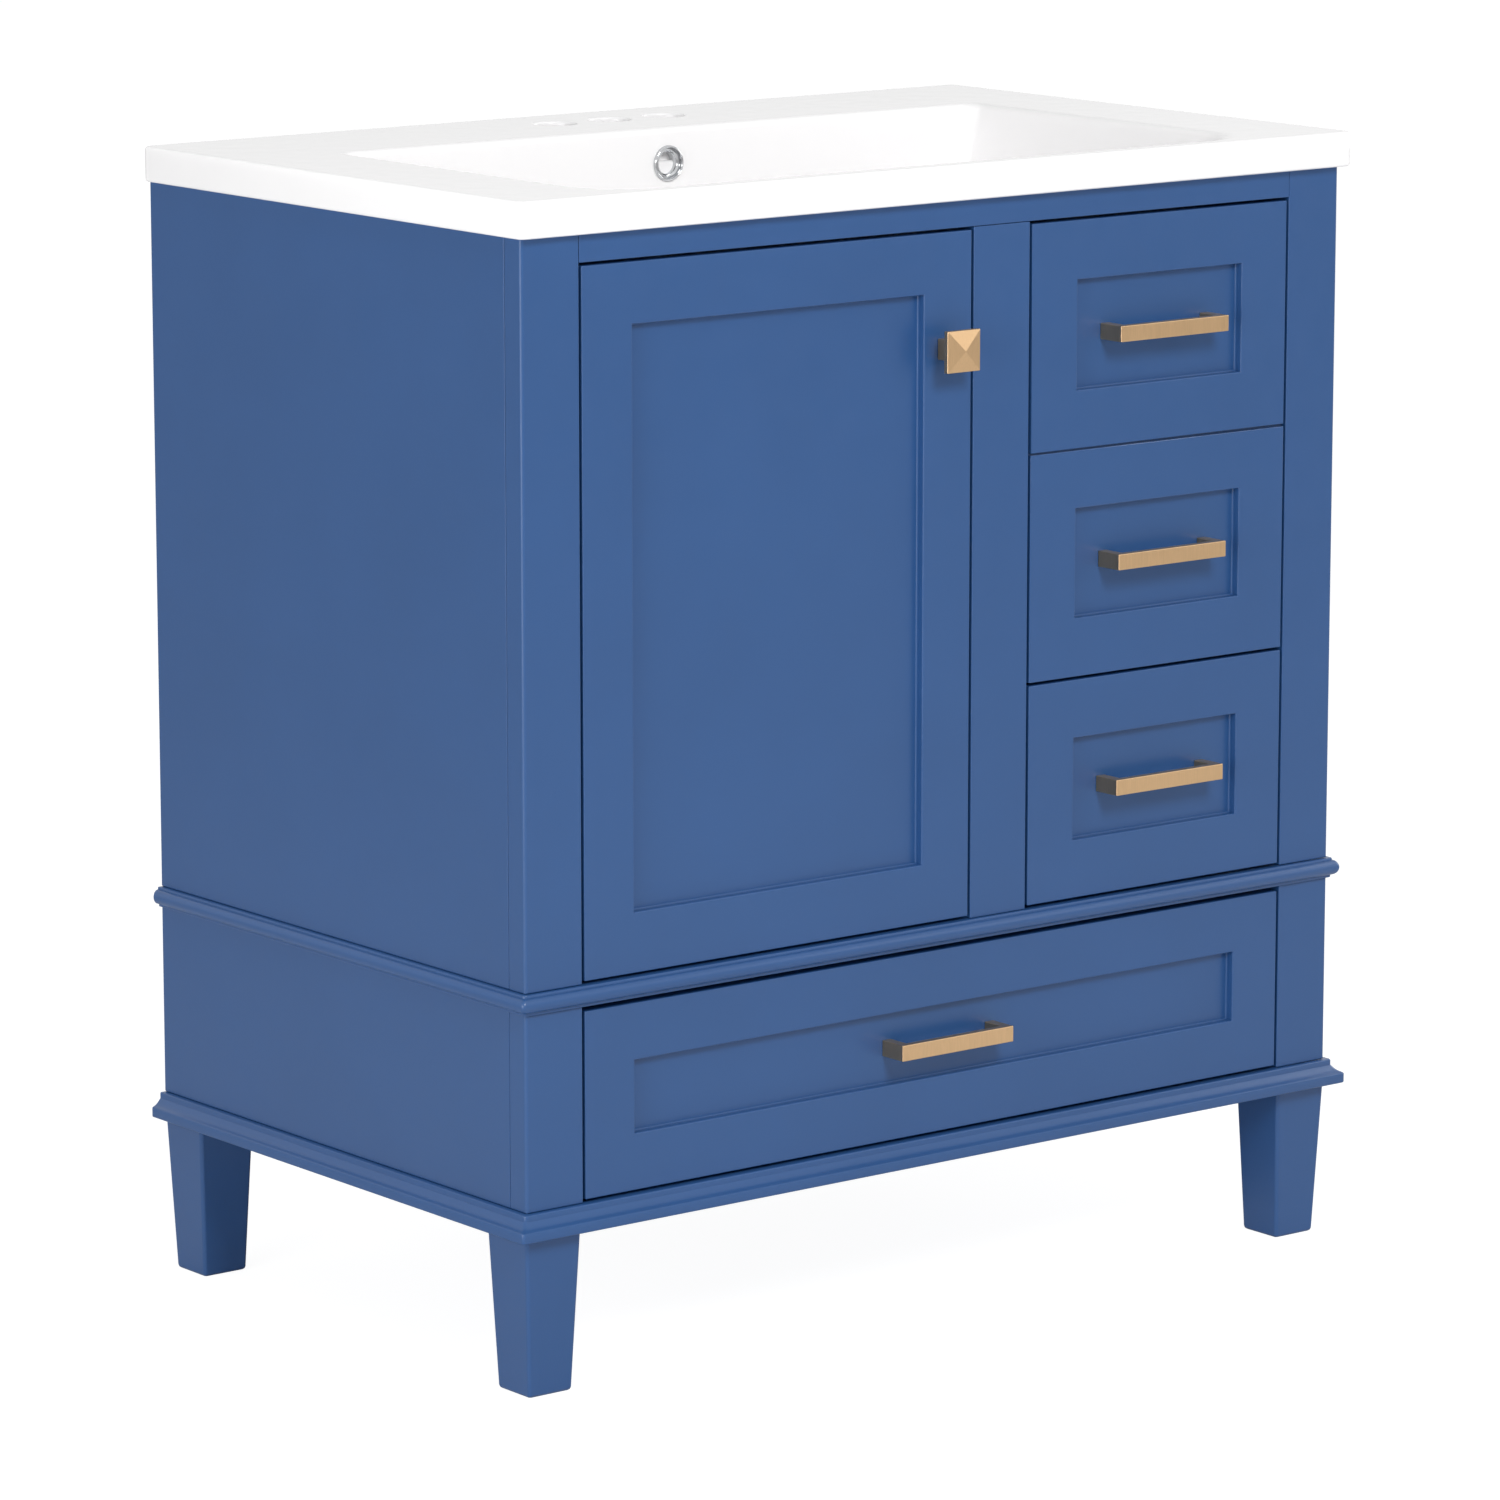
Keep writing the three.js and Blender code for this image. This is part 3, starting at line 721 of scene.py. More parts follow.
class VANITY_OT_inner_boards(bpy.types.Operator):
    """Back panel with its pipe cut-out, partition and packing boards"""

    bl_idname = "vanity.inner_boards"
    bl_label = "Inner Boards"

    cutout_margin = 0.004  # the stated opening stands this far inside the cut-out

    def execute(self, context):
        shapes = context.scene.vanity_shapes
        self.back_panel(shapes)
        board("partition", finish("birch_board", "z", "x"), shapes.joint_arris)
        for place in ("upper", "left", "right"):
            board(f"slide_packing_{place}", finish("birch_board", "y", "x"), shapes.joint_arris)
        return {"FINISHED"}

    def back_panel(self, shapes):
        """A thin panel with a square hole in it."""
        low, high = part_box("back_panel")
        openings = frame["record"]["physics"]["openings"]
        cutout = next(row["box_m"] for row in openings if row["name"] == "plumbing_cutout")
        cut_low, cut_high = (Vector(corner) for corner in cutout)
        margin = self.cutout_margin
        bm = new_mesh()
        outlines = []
        for x0, x1, z0, z1 in (
            (low.x, high.x, low.z, high.z),
            (cut_low.x - margin, cut_high.x + margin, cut_low.z - margin, cut_high.z + margin),
        ):
            around = ((x0, z0), (x1, z0), (x1, z1), (x0, z1))
            corners = [bm.verts.new((x, low.y, z)) for x, z in around]
            outlines += [bm.edges.new((corners[i], corners[(i + 1) % 4])) for i in range(4)]
        faces = bmesh.ops.bridge_loops(bm, edges=outlines)["faces"]
        pushed(bm, faces, (0, high.y - low.y, 0))
        bmesh.ops.recalc_face_normals(bm, faces=bm.faces)
        ease(bm, sharp_edges(bm), shapes.joint_arris)
        piece(bm, "back_panel", finish("blue_paint"))


# Basin top ---------------------------------------------------------------------------------------


def rounded_outline(bm, low, high, z, front_radius, back_radius, steps):
    """Edges of a rectangle with rounded corners, lying flat at a height."""
    others = set(bm.edges)
    middle_y = (low.y + high.y) / 2
    place = Matrix.Translation(((low.x + high.x) / 2, middle_y, z))
    size = Matrix.Diagonal((high.x - low.x, high.y - low.y, 1, 1))
    grid = bmesh.ops.create_grid(bm, x_segments=1, y_segments=1, size=0.5, matrix=place @ size)
    front = [vert for vert in grid["verts"] if vert.co.y < middle_y]
    back = [vert for vert in grid["verts"] if vert.co.y > middle_y]
    for radius, verts in ((front_radius, front), (back_radius, back)):
        bmesh.ops.bevel(
            bm, geom=verts, offset=radius, offset_type="OFFSET", segments=steps, profile=0.5,
            affect="VERTICES", material=-1,
        )
    edges = [edge for edge in bm.edges if edge not in others]
    faces = once(face for edge in edges for face in edge.link_faces)
    bmesh.ops.delete(bm, geom=faces, context="FACES_ONLY")
    return edges


def fit(bm, verts, low, high):
    """Scale and move vertices to fill two corners' box; their height is the low corner's."""
    old_low = Vector([min(vert.co[i] for vert in verts) for i in range(3)])
    old_high = Vector([max(vert.co[i] for vert in verts) for i in range(3)])
    old_centre = (old_low + old_high) / 2
    wider = (high.x - low.x) / (old_high.x - old_low.x)
    deeper = (high.y - low.y) / (old_high.y - old_low.y)
    space = Matrix.Translation(-old_centre)
    bmesh.ops.scale(bm, vec=(wider, deeper, 1), space=space, verts=verts)
    centre = Vector(((low.x + high.x) / 2, (low.y + high.y) / 2, low.z))
    bmesh.ops.translate(bm, vec=centre - old_centre, verts=verts)


def next_ring(bm, edges, low, high):
    """Extrude a loop of edges to a new box, and give the new loop."""
    result = bmesh.ops.extrude_edge_only(bm, edges=edges)
    verts = new_of(result, bmesh.types.BMVert)
    fresh = set(verts)
    fit(bm, verts, low, high)
    return [edge for edge in new_of(result, bmesh.types.BMEdge) if fresh.issuperset(edge.verts)]


def grown(low, high, by, z):
    """A flat box grown on all four sides, at a height."""
    return Vector((low.x - by, low.y - by, z)), Vector((high.x + by, high.y + by, z))


class VANITY_OT_basin_top(bpy.types.Operator):
    """Moulded basin top: slab, basin, faucet holes, drain and overflow"""

    bl_idname = "vanity.basin_top"
    bl_label = "Basin Top"

    # Distances to the back are from the front face of the body, shares are of the basin's depth.
    half_width = 0.296  # of the basin's mouth
    wall = 0.008
    depth = 0.128
    mouth_back = 0.327
    mouth_front = 0.003
    mouth_corners = (0.048, 0.014)  # radii at the front and at the back
    under_corners = (0.050, 0.020)  # the outside's, where it meets the slab
    front_flare, front_power = 0.050, 0.42  # hollow slope of the front: its reach and its power
    end_flare, end_power = 0.026, 0.8
    back_slope = 0.014
    plumb = 0.36  # share down to which the back wall is upright
    foot_start = 0.72  # share at which the rounded foot begins
    foot_round = 0.034
    wall_shares = (0.04, 0.07, 0.11, 0.16, 0.22, 0.29, 0.35, 0.36, 0.43, 0.5, 0.57, 0.64, 0.71)
    floor_shares = (0.03, 0.35, 0.6, 0.7)  # of the way from the foot to the drain
    under_shares = (0.3, 0.55)
    floor_fall = 0.003
    drain_y = 0.185
    drain_radius = 0.023
    drain_round = 0.003
    seat_radius = 0.036
    seat_height = 0.002
    seat_dish = 0.0005
    faucet_x = (-0.051, 0.0, 0.051)
    faucet_y = 0.399
    faucet_radius = 0.016
    faucet_round, faucet_round_steps = 0.0015, 3
    overflow_radius, overflow_steps = 0.010, 32
    overflow_drop = 0.027  # of the overflow hole's middle, from the top
    overflow_wall = (0.04, 0.35)  # shares between which the wall is cut open for the hole
    duct_gap = 0.0005  # between the wall's outside and the duct's pocket
    duct_half = 0.028
    duct_wall = 0.004
    duct_back = 0.353
    duct_foot, duct_top = 0.716, 0.808  # heights of its foot and of its pocket's top
    duct_chamfer = (0.010, 0.012)  # (forward, up) of the slope under its back
    duct_front = ((0.0195, 0), (0.0135, 0.016), (0.0085, 0.029))  # (forward, up) round the basin
    duct_lap = 0.004  # of its top into the basin's wall
    duct_bite = 0.0005  # of its top into the slab
    duct_round = 0.002
    duct_corner = 0.3  # its edges that turn by more than this angle are rounded
    slab_corner, slab_corner_steps = 0.005, 5
    flat = 0.001  # level strip before a rounding begins
    corner_steps = 10
    foot_steps = 10
    outside_steps = 18
    circle_steps = 4 * corner_steps + 4

    def execute(self, context):
        shapes = context.scene.vanity_shapes
        self.low, self.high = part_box("basin_top")
        self.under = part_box("upper_side_left")[1].z + SEAM
        self.drain = Vector((0, FRONT_FACE + self.drain_y, 0))
        bm = new_mesh()
        deck, under = self.slab_sides(bm, shapes.slab_round)
        deck += self.basin(bm, shapes.rim_round)
        under += self.underside(bm)
        for x in self.faucet_x:
            hole_top, hole_under = self.faucet_hole(bm, x)
            deck += hole_top
            under += hole_under
        for edges, up in ((deck, 1), (under, -1)):
            bmesh.ops.triangle_fill(bm, use_beauty=True, edges=edges, normal=(0, 0, up))
        bmesh.ops.remove_doubles(bm, verts=bm.verts, dist=NEAR)
        piece(bm, "basin_top", finish("white_glaze"))
        return {"FINISHED"}

    def slab_sides(self, bm, radius):
        """The slab's rounded rim; gives the outlines of its level top and underside."""
        inside = -radius - self.flat
        top_box = grown(self.low, self.high, inside, self.high.z)
        corner, steps = self.slab_corner, self.slab_corner_steps
        top = rounded_outline(bm, *top_box, self.high.z, corner, corner, steps)
        arc = [(0.0, 0.0)] + quarter(radius)
        ring = top
        for out, down in arc:
            box = grown(self.low, self.high, out - radius, self.high.z - down)
            ring = next_ring(bm, ring, *box)
        for out, down in reversed(arc):
            box = grown(self.low, self.high, out - radius, self.under + down)
            ring = next_ring(bm, ring, *box)
        return top, next_ring(bm, ring, *grown(self.low, self.high, inside, self.under))

    def box_at(self, share, wall=0.0, rim=0.0):
        """The basin's box at a share of its depth, grown by a wall and by a rim.

        The rim is half as wide in front. The basin's front is flared, its ends slope, its back is
        upright at first and its foot is round.
        """
        into_foot = max(0.0, (share - self.foot_start) / (1 - self.foot_start))
        fillet = self.foot_round * (1 - math.sqrt(max(0.0, 1 - into_foot * into_foot)))
        front = self.front_flare * share**self.front_power + fillet - wall - rim / 2
        ends = self.end_flare * share**self.end_power + fillet - wall - rim
        back = self.back_slope * max(0.0, share - self.plumb) + fillet - wall - rim
        z = self.high.z - (self.depth + wall) * share
        low = Vector((ends - self.half_width, FRONT_FACE + self.mouth_front + front, z))
        high = Vector((self.half_width - ends, FRONT_FACE + self.mouth_back - back, z))
        return low, high

    def basin(self, bm, radius):
        """The basin's inside down to its drain; gives the outline of its mouth."""
        box = self.box_at(0.0, rim=radius + self.flat)
        mouth = rounded_outline(bm, *box, self.high.z, *self.mouth_corners, self.corner_steps)
        ring = next_ring(bm, mouth, *self.box_at(0.0, rim=radius))
        for out, down in quarter(radius):
            ring = next_ring(bm, ring, *self.box_at(down / self.depth, rim=radius - out))
        foot_turns = [step / self.foot_steps * math.pi / 2 for step in range(self.foot_steps + 1)]
        foot_shares = [self.foot_start + (1 - self.foot_start) * math.sin(a) for a in foot_turns]
        for share in (*self.wall_shares, *foot_shares):
            low, high = self.box_at(share)
            ring = next_ring(bm, ring, low, high)
        ring = self.towards_drain(bm, ring, low, high, self.floor_shares, self.floor_fall)
        lip_z = low.z - self.floor_fall
        lip_radius = self.drain_radius + self.drain_round
        lip = self.circle(bm, self.drain, lip_z, lip_radius)
        bmesh.ops.bridge_loops(bm, edges=ring + lip)
        for out, down in quarter(self.drain_round):
            lip = self.round_ring(bm, lip, self.drain, lip_z - down, lip_radius - out)
        foot_z = self.low.z + self.seat_dish
        self.drain_foot = self.round_ring(bm, lip, self.drain, foot_z, self.drain_radius)
        self.overflow_hole(bm, FRONT_FACE + self.mouth_back)
        return mouth

    def towards_drain(self, bm, ring, low, high, shares, fall):
        """Loops ever nearer to the drain and a little lower; gives the last one."""
        drain = Vector((self.drain.x, self.drain.y, low.z))
        for share in shares:
            drop = Vector((0, 0, fall * share))
            box = [corner.lerp(drain, share) - drop for corner in (low, high)]
            ring = next_ring(bm, ring, *box)
        return ring

    def circle(self, bm, middle, z, radius):
        """Edges of a level circle."""
        return ring_of(bm, middle.x, middle.y, z, radius, self.circle_steps)

    def round_ring(self, bm, edges, middle, z, radius):
        """Extrude a level circle to another height and radius."""
        reach = Vector((radius, radius, 0))
        centre = Vector((middle.x, middle.y, z))
        return next_ring(bm, edges, centre - reach, centre + reach)

    def overflow_hole(self, bm, wall_y):
        """A round hole through the basin's upright back wall, into the duct behind it."""
        top_z, foot_z = (self.high.z - share * self.depth for share in self.overflow_wall)

        def on_wall(face):
            middle = face.calc_center_median()
            level = foot_z < middle.z < top_z
            return abs(middle.y - wall_y) < NEAR and level and abs(middle.x) < self.overflow_radius

        wall_faces = [face for face in bm.faces if on_wall(face)]
        edges = edges_of_faces(wall_faces)
        inner = [edge for edge in edges if all(face in wall_faces for face in edge.link_faces)]
        bmesh.ops.delete(bm, geom=inner, context="EDGES")
        hole_z = self.high.z - self.overflow_drop
        radius, steps = self.overflow_radius, self.overflow_steps
        hole = ring_of(bm, 0.0, wall_y, hole_z, radius, steps, axis="y")
        outline = [edge for edge in edges if edge.is_valid]
        bmesh.ops.triangle_fill(bm, use_beauty=True, edges=outline + hole, normal=(0, -1, 0))
        result = bmesh.ops.extrude_edge_only(bm, edges=hole)
        sleeve = self.wall + self.duct_gap
        ends = new_of(result, bmesh.types.BMVert)
        bmesh.ops.translate(bm, vec=(0, sleeve, 0), verts=ends)
        ring = [e for e in new_of(result, bmesh.types.BMEdge) if all(v in ends for v in e.verts)]
        self.duct(bm, wall_y + sleeve, ring)

    def duct(self, bm, front_y, ring):
        """The overflow's duct behind the basin: a pocket that the hole opens into, and its box."""
        half, wall, foot_z = self.duct_half, self.duct_wall, self.duct_foot
        back_y = FRONT_FACE + self.duct_back
        pocket_low = (wall - half, front_y, foot_z + 2 * wall)
        pocket = add_block(bm, pocket_low, (half - wall, back_y - wall, self.duct_top))
        front = next(face for face in faces_at(bm, y=front_y) if face.verts[0] in pocket)
        mouth = list(front.edges)
        bmesh.ops.delete(bm, geom=[front], context="FACES_ONLY")
        bmesh.ops.bridge_loops(bm, edges=mouth + ring)
        top_z = self.under + self.duct_bite
        slope, rise = self.duct_chamfer
        section = [
            (front_y - self.duct_lap, top_z), (back_y, top_z),
            (back_y, foot_z + rise), (back_y - slope, foot_z),
            *((front_y - forward, foot_z + up) for forward, up in self.duct_front),
        ]
        edges = edges_of_faces(add_run(bm, section, "x", -half, half))
        corners = [edge for edge in edges if edge.calc_face_angle(0) > self.duct_corner]
        ease(bm, corners, self.duct_round)

    def underside(self, bm):
        """The basin's outside, from under the slab to the drain's seat; gives its top outline."""
        start = (self.high.z - self.under) / (self.depth + self.wall)
        box = self.box_at(start, self.wall)
        top = rounded_outline(bm, *box, self.under, *self.under_corners, self.corner_steps)
        ring = top
        for row in range(1, self.outside_steps + 1):
            share = start + (1 - start) * math.sin(row / self.outside_steps * math.pi / 2)
            low, high = self.box_at(share, self.wall)
            ring = next_ring(bm, ring, low, high)
        ring = self.towards_drain(bm, ring, low, high, self.under_shares, 0)
        seat = self.circle(bm, self.drain, low.z - self.seat_height, self.seat_radius)
        bmesh.ops.bridge_loops(bm, edges=ring + seat)
        foot = self.round_ring(bm, seat, self.drain, self.low.z, self.seat_radius)
        bmesh.ops.bridge_loops(bm, edges=foot + self.drain_foot)
        return top

    def faucet_hole(self, bm, x):
        """A bored hole with a rounded rim; gives its outlines on the deck and on the underside."""
        middle = Vector((x, FRONT_FACE + self.faucet_y, 0))
        rim_radius = self.faucet_radius + self.faucet_round
        top = self.circle(bm, middle, self.high.z, rim_radius + self.flat)
        ring = self.round_ring(bm, top, middle, self.high.z, rim_radius)
        for out, down in quarter(self.faucet_round, self.faucet_round_steps):
            ring = self.round_ring(bm, ring, middle, self.high.z - down, rim_radius - out)
        return top, self.round_ring(bm, ring, middle, self.under, self.faucet_radius)


class VANITY_OT_overflow_ring(bpy.types.Operator):
    """Chrome trim ring in the overflow hole"""

    bl_idname = "vanity.overflow_ring"
    bl_label = "Overflow Ring"

    sleeve = 0.0097  # outer radius of the part inside the hole
    bore = 0.0081
    bead_half = 0.0011
    bead_steps, ring_steps = 12, 64
    dish = 0.0006  # how far the ring is hollowed inside its bead

    def execute(self, context):
        low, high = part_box("overflow_ring")
        radius = (high.x - low.x) / 2
        wall_y = FRONT_FACE + VANITY_OT_basin_top.mouth_back - SEAM
        bead_reach = (self.bead_half, wall_y - low.y)
        bead_centre = (radius - self.bead_half, wall_y)
        bead = arc_points(bead_centre, bead_reach, 0, -180, self.bead_steps)
        profile = [
            (self.bore, high.y), (self.sleeve, high.y), (self.sleeve, wall_y), *bead,
            (self.sleeve, wall_y - self.dish), (self.bore + self.dish / 2, wall_y + self.dish),
            (self.bore, wall_y + 2 * self.dish),
        ]
        bm = new_mesh()
        add_turned(bm, profile, Vector((0, 0, (low.z + high.z) / 2)), steps=self.ring_steps)
        piece(bm, "overflow_ring", finish("chrome"))
        return {"FINISHED"}


# Fronts ------------------------------------------------------------------------------------------


def recess(bm, face, low, high):
    """Rout a recessed panel into a face: rounded arris, plain wall, rounded foot."""
    shapes = bpy.context.scene.vanity_shapes
    radius, strip, first_inset = shapes.recess_round, 0.001, 0.01
    arc = [(0.0, 0.0)] + quarter(radius)
    wall = shapes.recess_depth - 2 * radius
    foot = [(radius - down, radius - out) for out, down in reversed(arc)]
    levels = [(strip, 0.0)] + [(strip + out, down) for out, down in arc[1:]]
    levels += [(strip + radius + out, radius + wall + down) for out, down in foot]
    levels.append((2 * strip + 2 * radius, shapes.recess_depth))
    bmesh.ops.inset_individual(bm, faces=[face], thickness=first_inset, use_even_offset=True)
    middle = face.calc_center_median()
    for axis in (0, 2):
        for corner, outward in ((low, -1), (high, 1)):
            side = [vert for vert in face.verts if (vert.co[axis] - middle[axis]) * outward > 0]
            offset = Vector()
            offset[axis] = corner[axis] + outward * (strip + radius) - side[0].co[axis]
            bmesh.ops.translate(bm, vec=offset, verts=side)
    across, deep = 0.0, 0.0
    for new_across, new_deep in levels:
        bmesh.ops.inset_individual(
            bm, faces=[face], thickness=new_across - across, depth=deep - new_deep,
            use_even_offset=True,
        )
        across, deep = new_across, new_deep


def front_piece(bm, node):
    """Make a front an object with its outer edges rounded."""
    arris = bpy.context.scene.vanity_shapes.arris
    low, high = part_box(node)
    for y in (low.y, high.y):
        for x in (low.x, high.x):
            ease(bm, edges_at(bm, y=y, x=x), arris)
        for z in (low.z, high.z):
            ease(bm, edges_at(bm, y=y, z=z), arris)
    for x in (low.x, high.x):
        for z in (low.z, high.z):
            ease(bm, edges_at(bm, x=x, z=z), arris)
    piece(bm, node, finish("blue_paint"))


class VANITY_OT_fronts(bpy.types.Operator):
    """Door and drawer fronts with their recessed panels"""

    bl_idname = "vanity.fronts"
    bl_label = "Door and Drawer Fronts"

    pocket_radius, pocket_steps = 0.0175, 40
    pocket_depth = 0.0118
    pocket_strip = 0.003  # of the door's back left round the pockets' face

    def execute(self, context):
        shapes = context.scene.vanity_shapes
        for node, margin in (
            ("door_front", shapes.front_margin),
            ("lower_drawer_front", shapes.front_margin),
            ("bottom_drawer_front", shapes.bottom_margin),
        ):
            low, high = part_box(node)
            bm = block(low, high)
            border = Vector((shapes.front_margin, 0, margin))
            recess(bm, faces_at(bm, y=low.y)[0], low + border, high - border)
            if node == "door_front":
                self.cup_pockets(bm, faces_at(bm, y=high.y)[0])
            front_piece(bm, node)
        self.twin_front(shapes)
        return {"FINISHED"}

    def cup_pockets(self, bm, back):
        """Round pockets for the hinge cups in the door's back face."""
        strip = self.pocket_strip
        bmesh.ops.inset_individual(bm, faces=[back], thickness=strip, use_even_offset=True)
        outline, y = list(back.edges), back.verts[0].co.y
        bmesh.ops.delete(bm, geom=[back], context="FACES_ONLY")
        mouths = []
        for node in nodes_named("hinge_cup"):
            low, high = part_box(node)
            x, z = (low.x + high.x) / 2, (low.z + high.z) / 2
            mouth = ring_of(bm, x, y, z, self.pocket_radius, self.pocket_steps, axis="y")
            mouths.append(mouth)
        every_edge = outline + [edge for mouth in mouths for edge in mouth]
        bmesh.ops.triangle_fill(bm, use_beauty=True, edges=every_edge, normal=(0, 1, 0))
        for mouth in mouths:
            result = bmesh.ops.extrude_edge_only(bm, edges=mouth)
            foot = new_of(result, bmesh.types.BMVert)
            bmesh.ops.translate(bm, vec=(0, -self.pocket_depth, 0), verts=foot)
            rim = [edge for edge in new_of(result, bmesh.types.BMEdge) if edge.is_boundary]
            bmesh.ops.contextual_create(bm, geom=rim)

    def twin_front(self, shapes):
        """One drawer front made to look like two, with a narrow groove between its panels."""
        node = "upper_drawer_front"
        low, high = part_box(node)
        middle, foot = shapes.groove_height, low.y + shapes.groove_depth
        groove = (middle - shapes.groove_width / 2, middle + shapes.groove_width / 2)
        section = [
            (low.y, low.z), (high.y, low.z), (high.y, high.z), (low.y, high.z),
            (low.y, groove[1]), (foot, groove[1]), (foot, groove[0]), (low.y, groove[0]),
        ]
        bm = run_of(section, "x", low.x, high.x)
        border = Vector((shapes.front_margin, 0, shapes.front_margin))
        fields = sorted(faces_at(bm, y=low.y), key=lambda face: face.calc_center_median().z)
        recess(bm, fields[0], low + border, Vector((high.x, 0, middle)) - border)
        recess(bm, fields[1], Vector((low.x, 0, middle)) + border, high - border)
        for z in groove:
            ease(bm, edges_at(bm, y=low.y, z=z), shapes.groove_arris)
        front_piece(bm, node)


# Brass -------------------------------------------------------------------------------------------


class VANITY_OT_knob(bpy.types.Operator):
    """Pyramid knob on a square stem"""

    bl_idname = "vanity.knob"
    bl_label = "Door Knob"

    stem = 0.0075  # half its width
    plate = 0.0042
    rise = 0.0022

    def execute(self, context):
        arris = context.scene.vanity_shapes.brass_arris
        low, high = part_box("door_knob")
        middle = (low + high) / 2
        back = low.y + self.rise + self.plate
        stem = self.stem
        stem_low = (middle.x - stem, back, middle.z - stem)
        bm = block(stem_low, (middle.x + stem, high.y, middle.z + stem))
        plate = pushed(bm, faces_at(bm, y=back))
        spread = (high.x - low.x) / (2 * stem)
        centre = Matrix.Translation(-middle)
        bmesh.ops.scale(bm, vec=(spread, 1, spread), space=centre, verts=plate[0].verts)
        tip = bmesh.ops.poke(bm, faces=pushed(bm, plate, (0, -self.plate, 0)))["verts"]
        bmesh.ops.translate(bm, vec=(0, -self.rise, 0), verts=tip)
        bmesh.ops.recalc_face_normals(bm, faces=bm.faces)
        ease(bm, sharp_edges(bm), arris)
        ease(bm, edges_of_verts(tip), arris / 2)
        piece(bm, "door_knob", finish("brushed_brass"))
        return {"FINISHED"}


class VANITY_OT_pulls(bpy.types.Operator):
    """Square bar pulls on the drawer fronts"""

    bl_idname = "vanity.pulls"
    bl_label = "Drawer Pulls"

    bar = 0.006
    leg = 0.008

    def execute(self, context):
        shapes = context.scene.vanity_shapes
        panel_y = FRONT_FACE + shapes.recess_depth
        for node in nodes_named("_pull"):
            low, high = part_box(node)
            inner_y = low.y + self.bar
            bm = block(low, (high.x, inner_y, high.z))
            for x in (low.x + self.leg, high.x - self.leg):
                everything = bm.verts[:] + bm.edges[:] + bm.faces[:]
                bmesh.ops.bisect_plane(
                    bm, geom=everything, plane_co=(x, 0, 0), plane_no=(1, 0, 0), dist=NEAR
                )
            middle = (low.x + high.x) / 2
            fields = faces_at(bm, y=inner_y)
            feet = [f for f in fields if abs(f.calc_center_median().x - middle) > self.leg]
            pushed(bm, feet, (0, panel_y - inner_y, 0))
            bmesh.ops.recalc_face_normals(bm, faces=bm.faces)
            flat = math.radians(1)
            bmesh.ops.dissolve_limit(bm, angle_limit=flat, verts=bm.verts, edges=bm.edges)
            ease(bm, sharp_edges(bm), shapes.brass_arris)
            piece(bm, node, finish("brushed_brass"))
        return {"FINISHED"}


# Hinges, slides and drawer boxes -----------------------------------------------------------------


def screw_head(bm, place, radius=0.0036):
    """A low pan head with a round socket; it faces the back of the cabinet."""
    sunk, rim, shoulder, crown, edge_of_socket = -0.0003, 0.0003, 0.0008, 0.0011, 0.0010
    profile = [
        (0.0, sunk), (radius, sunk), (radius, rim), (0.9 * radius, shoulder),
        (0.7 * radius, crown), (0.4 * radius, edge_of_socket), (0.3 * radius, rim), (0.0, rim),
    ]
    add_turned(bm, profile, place, steps=24)


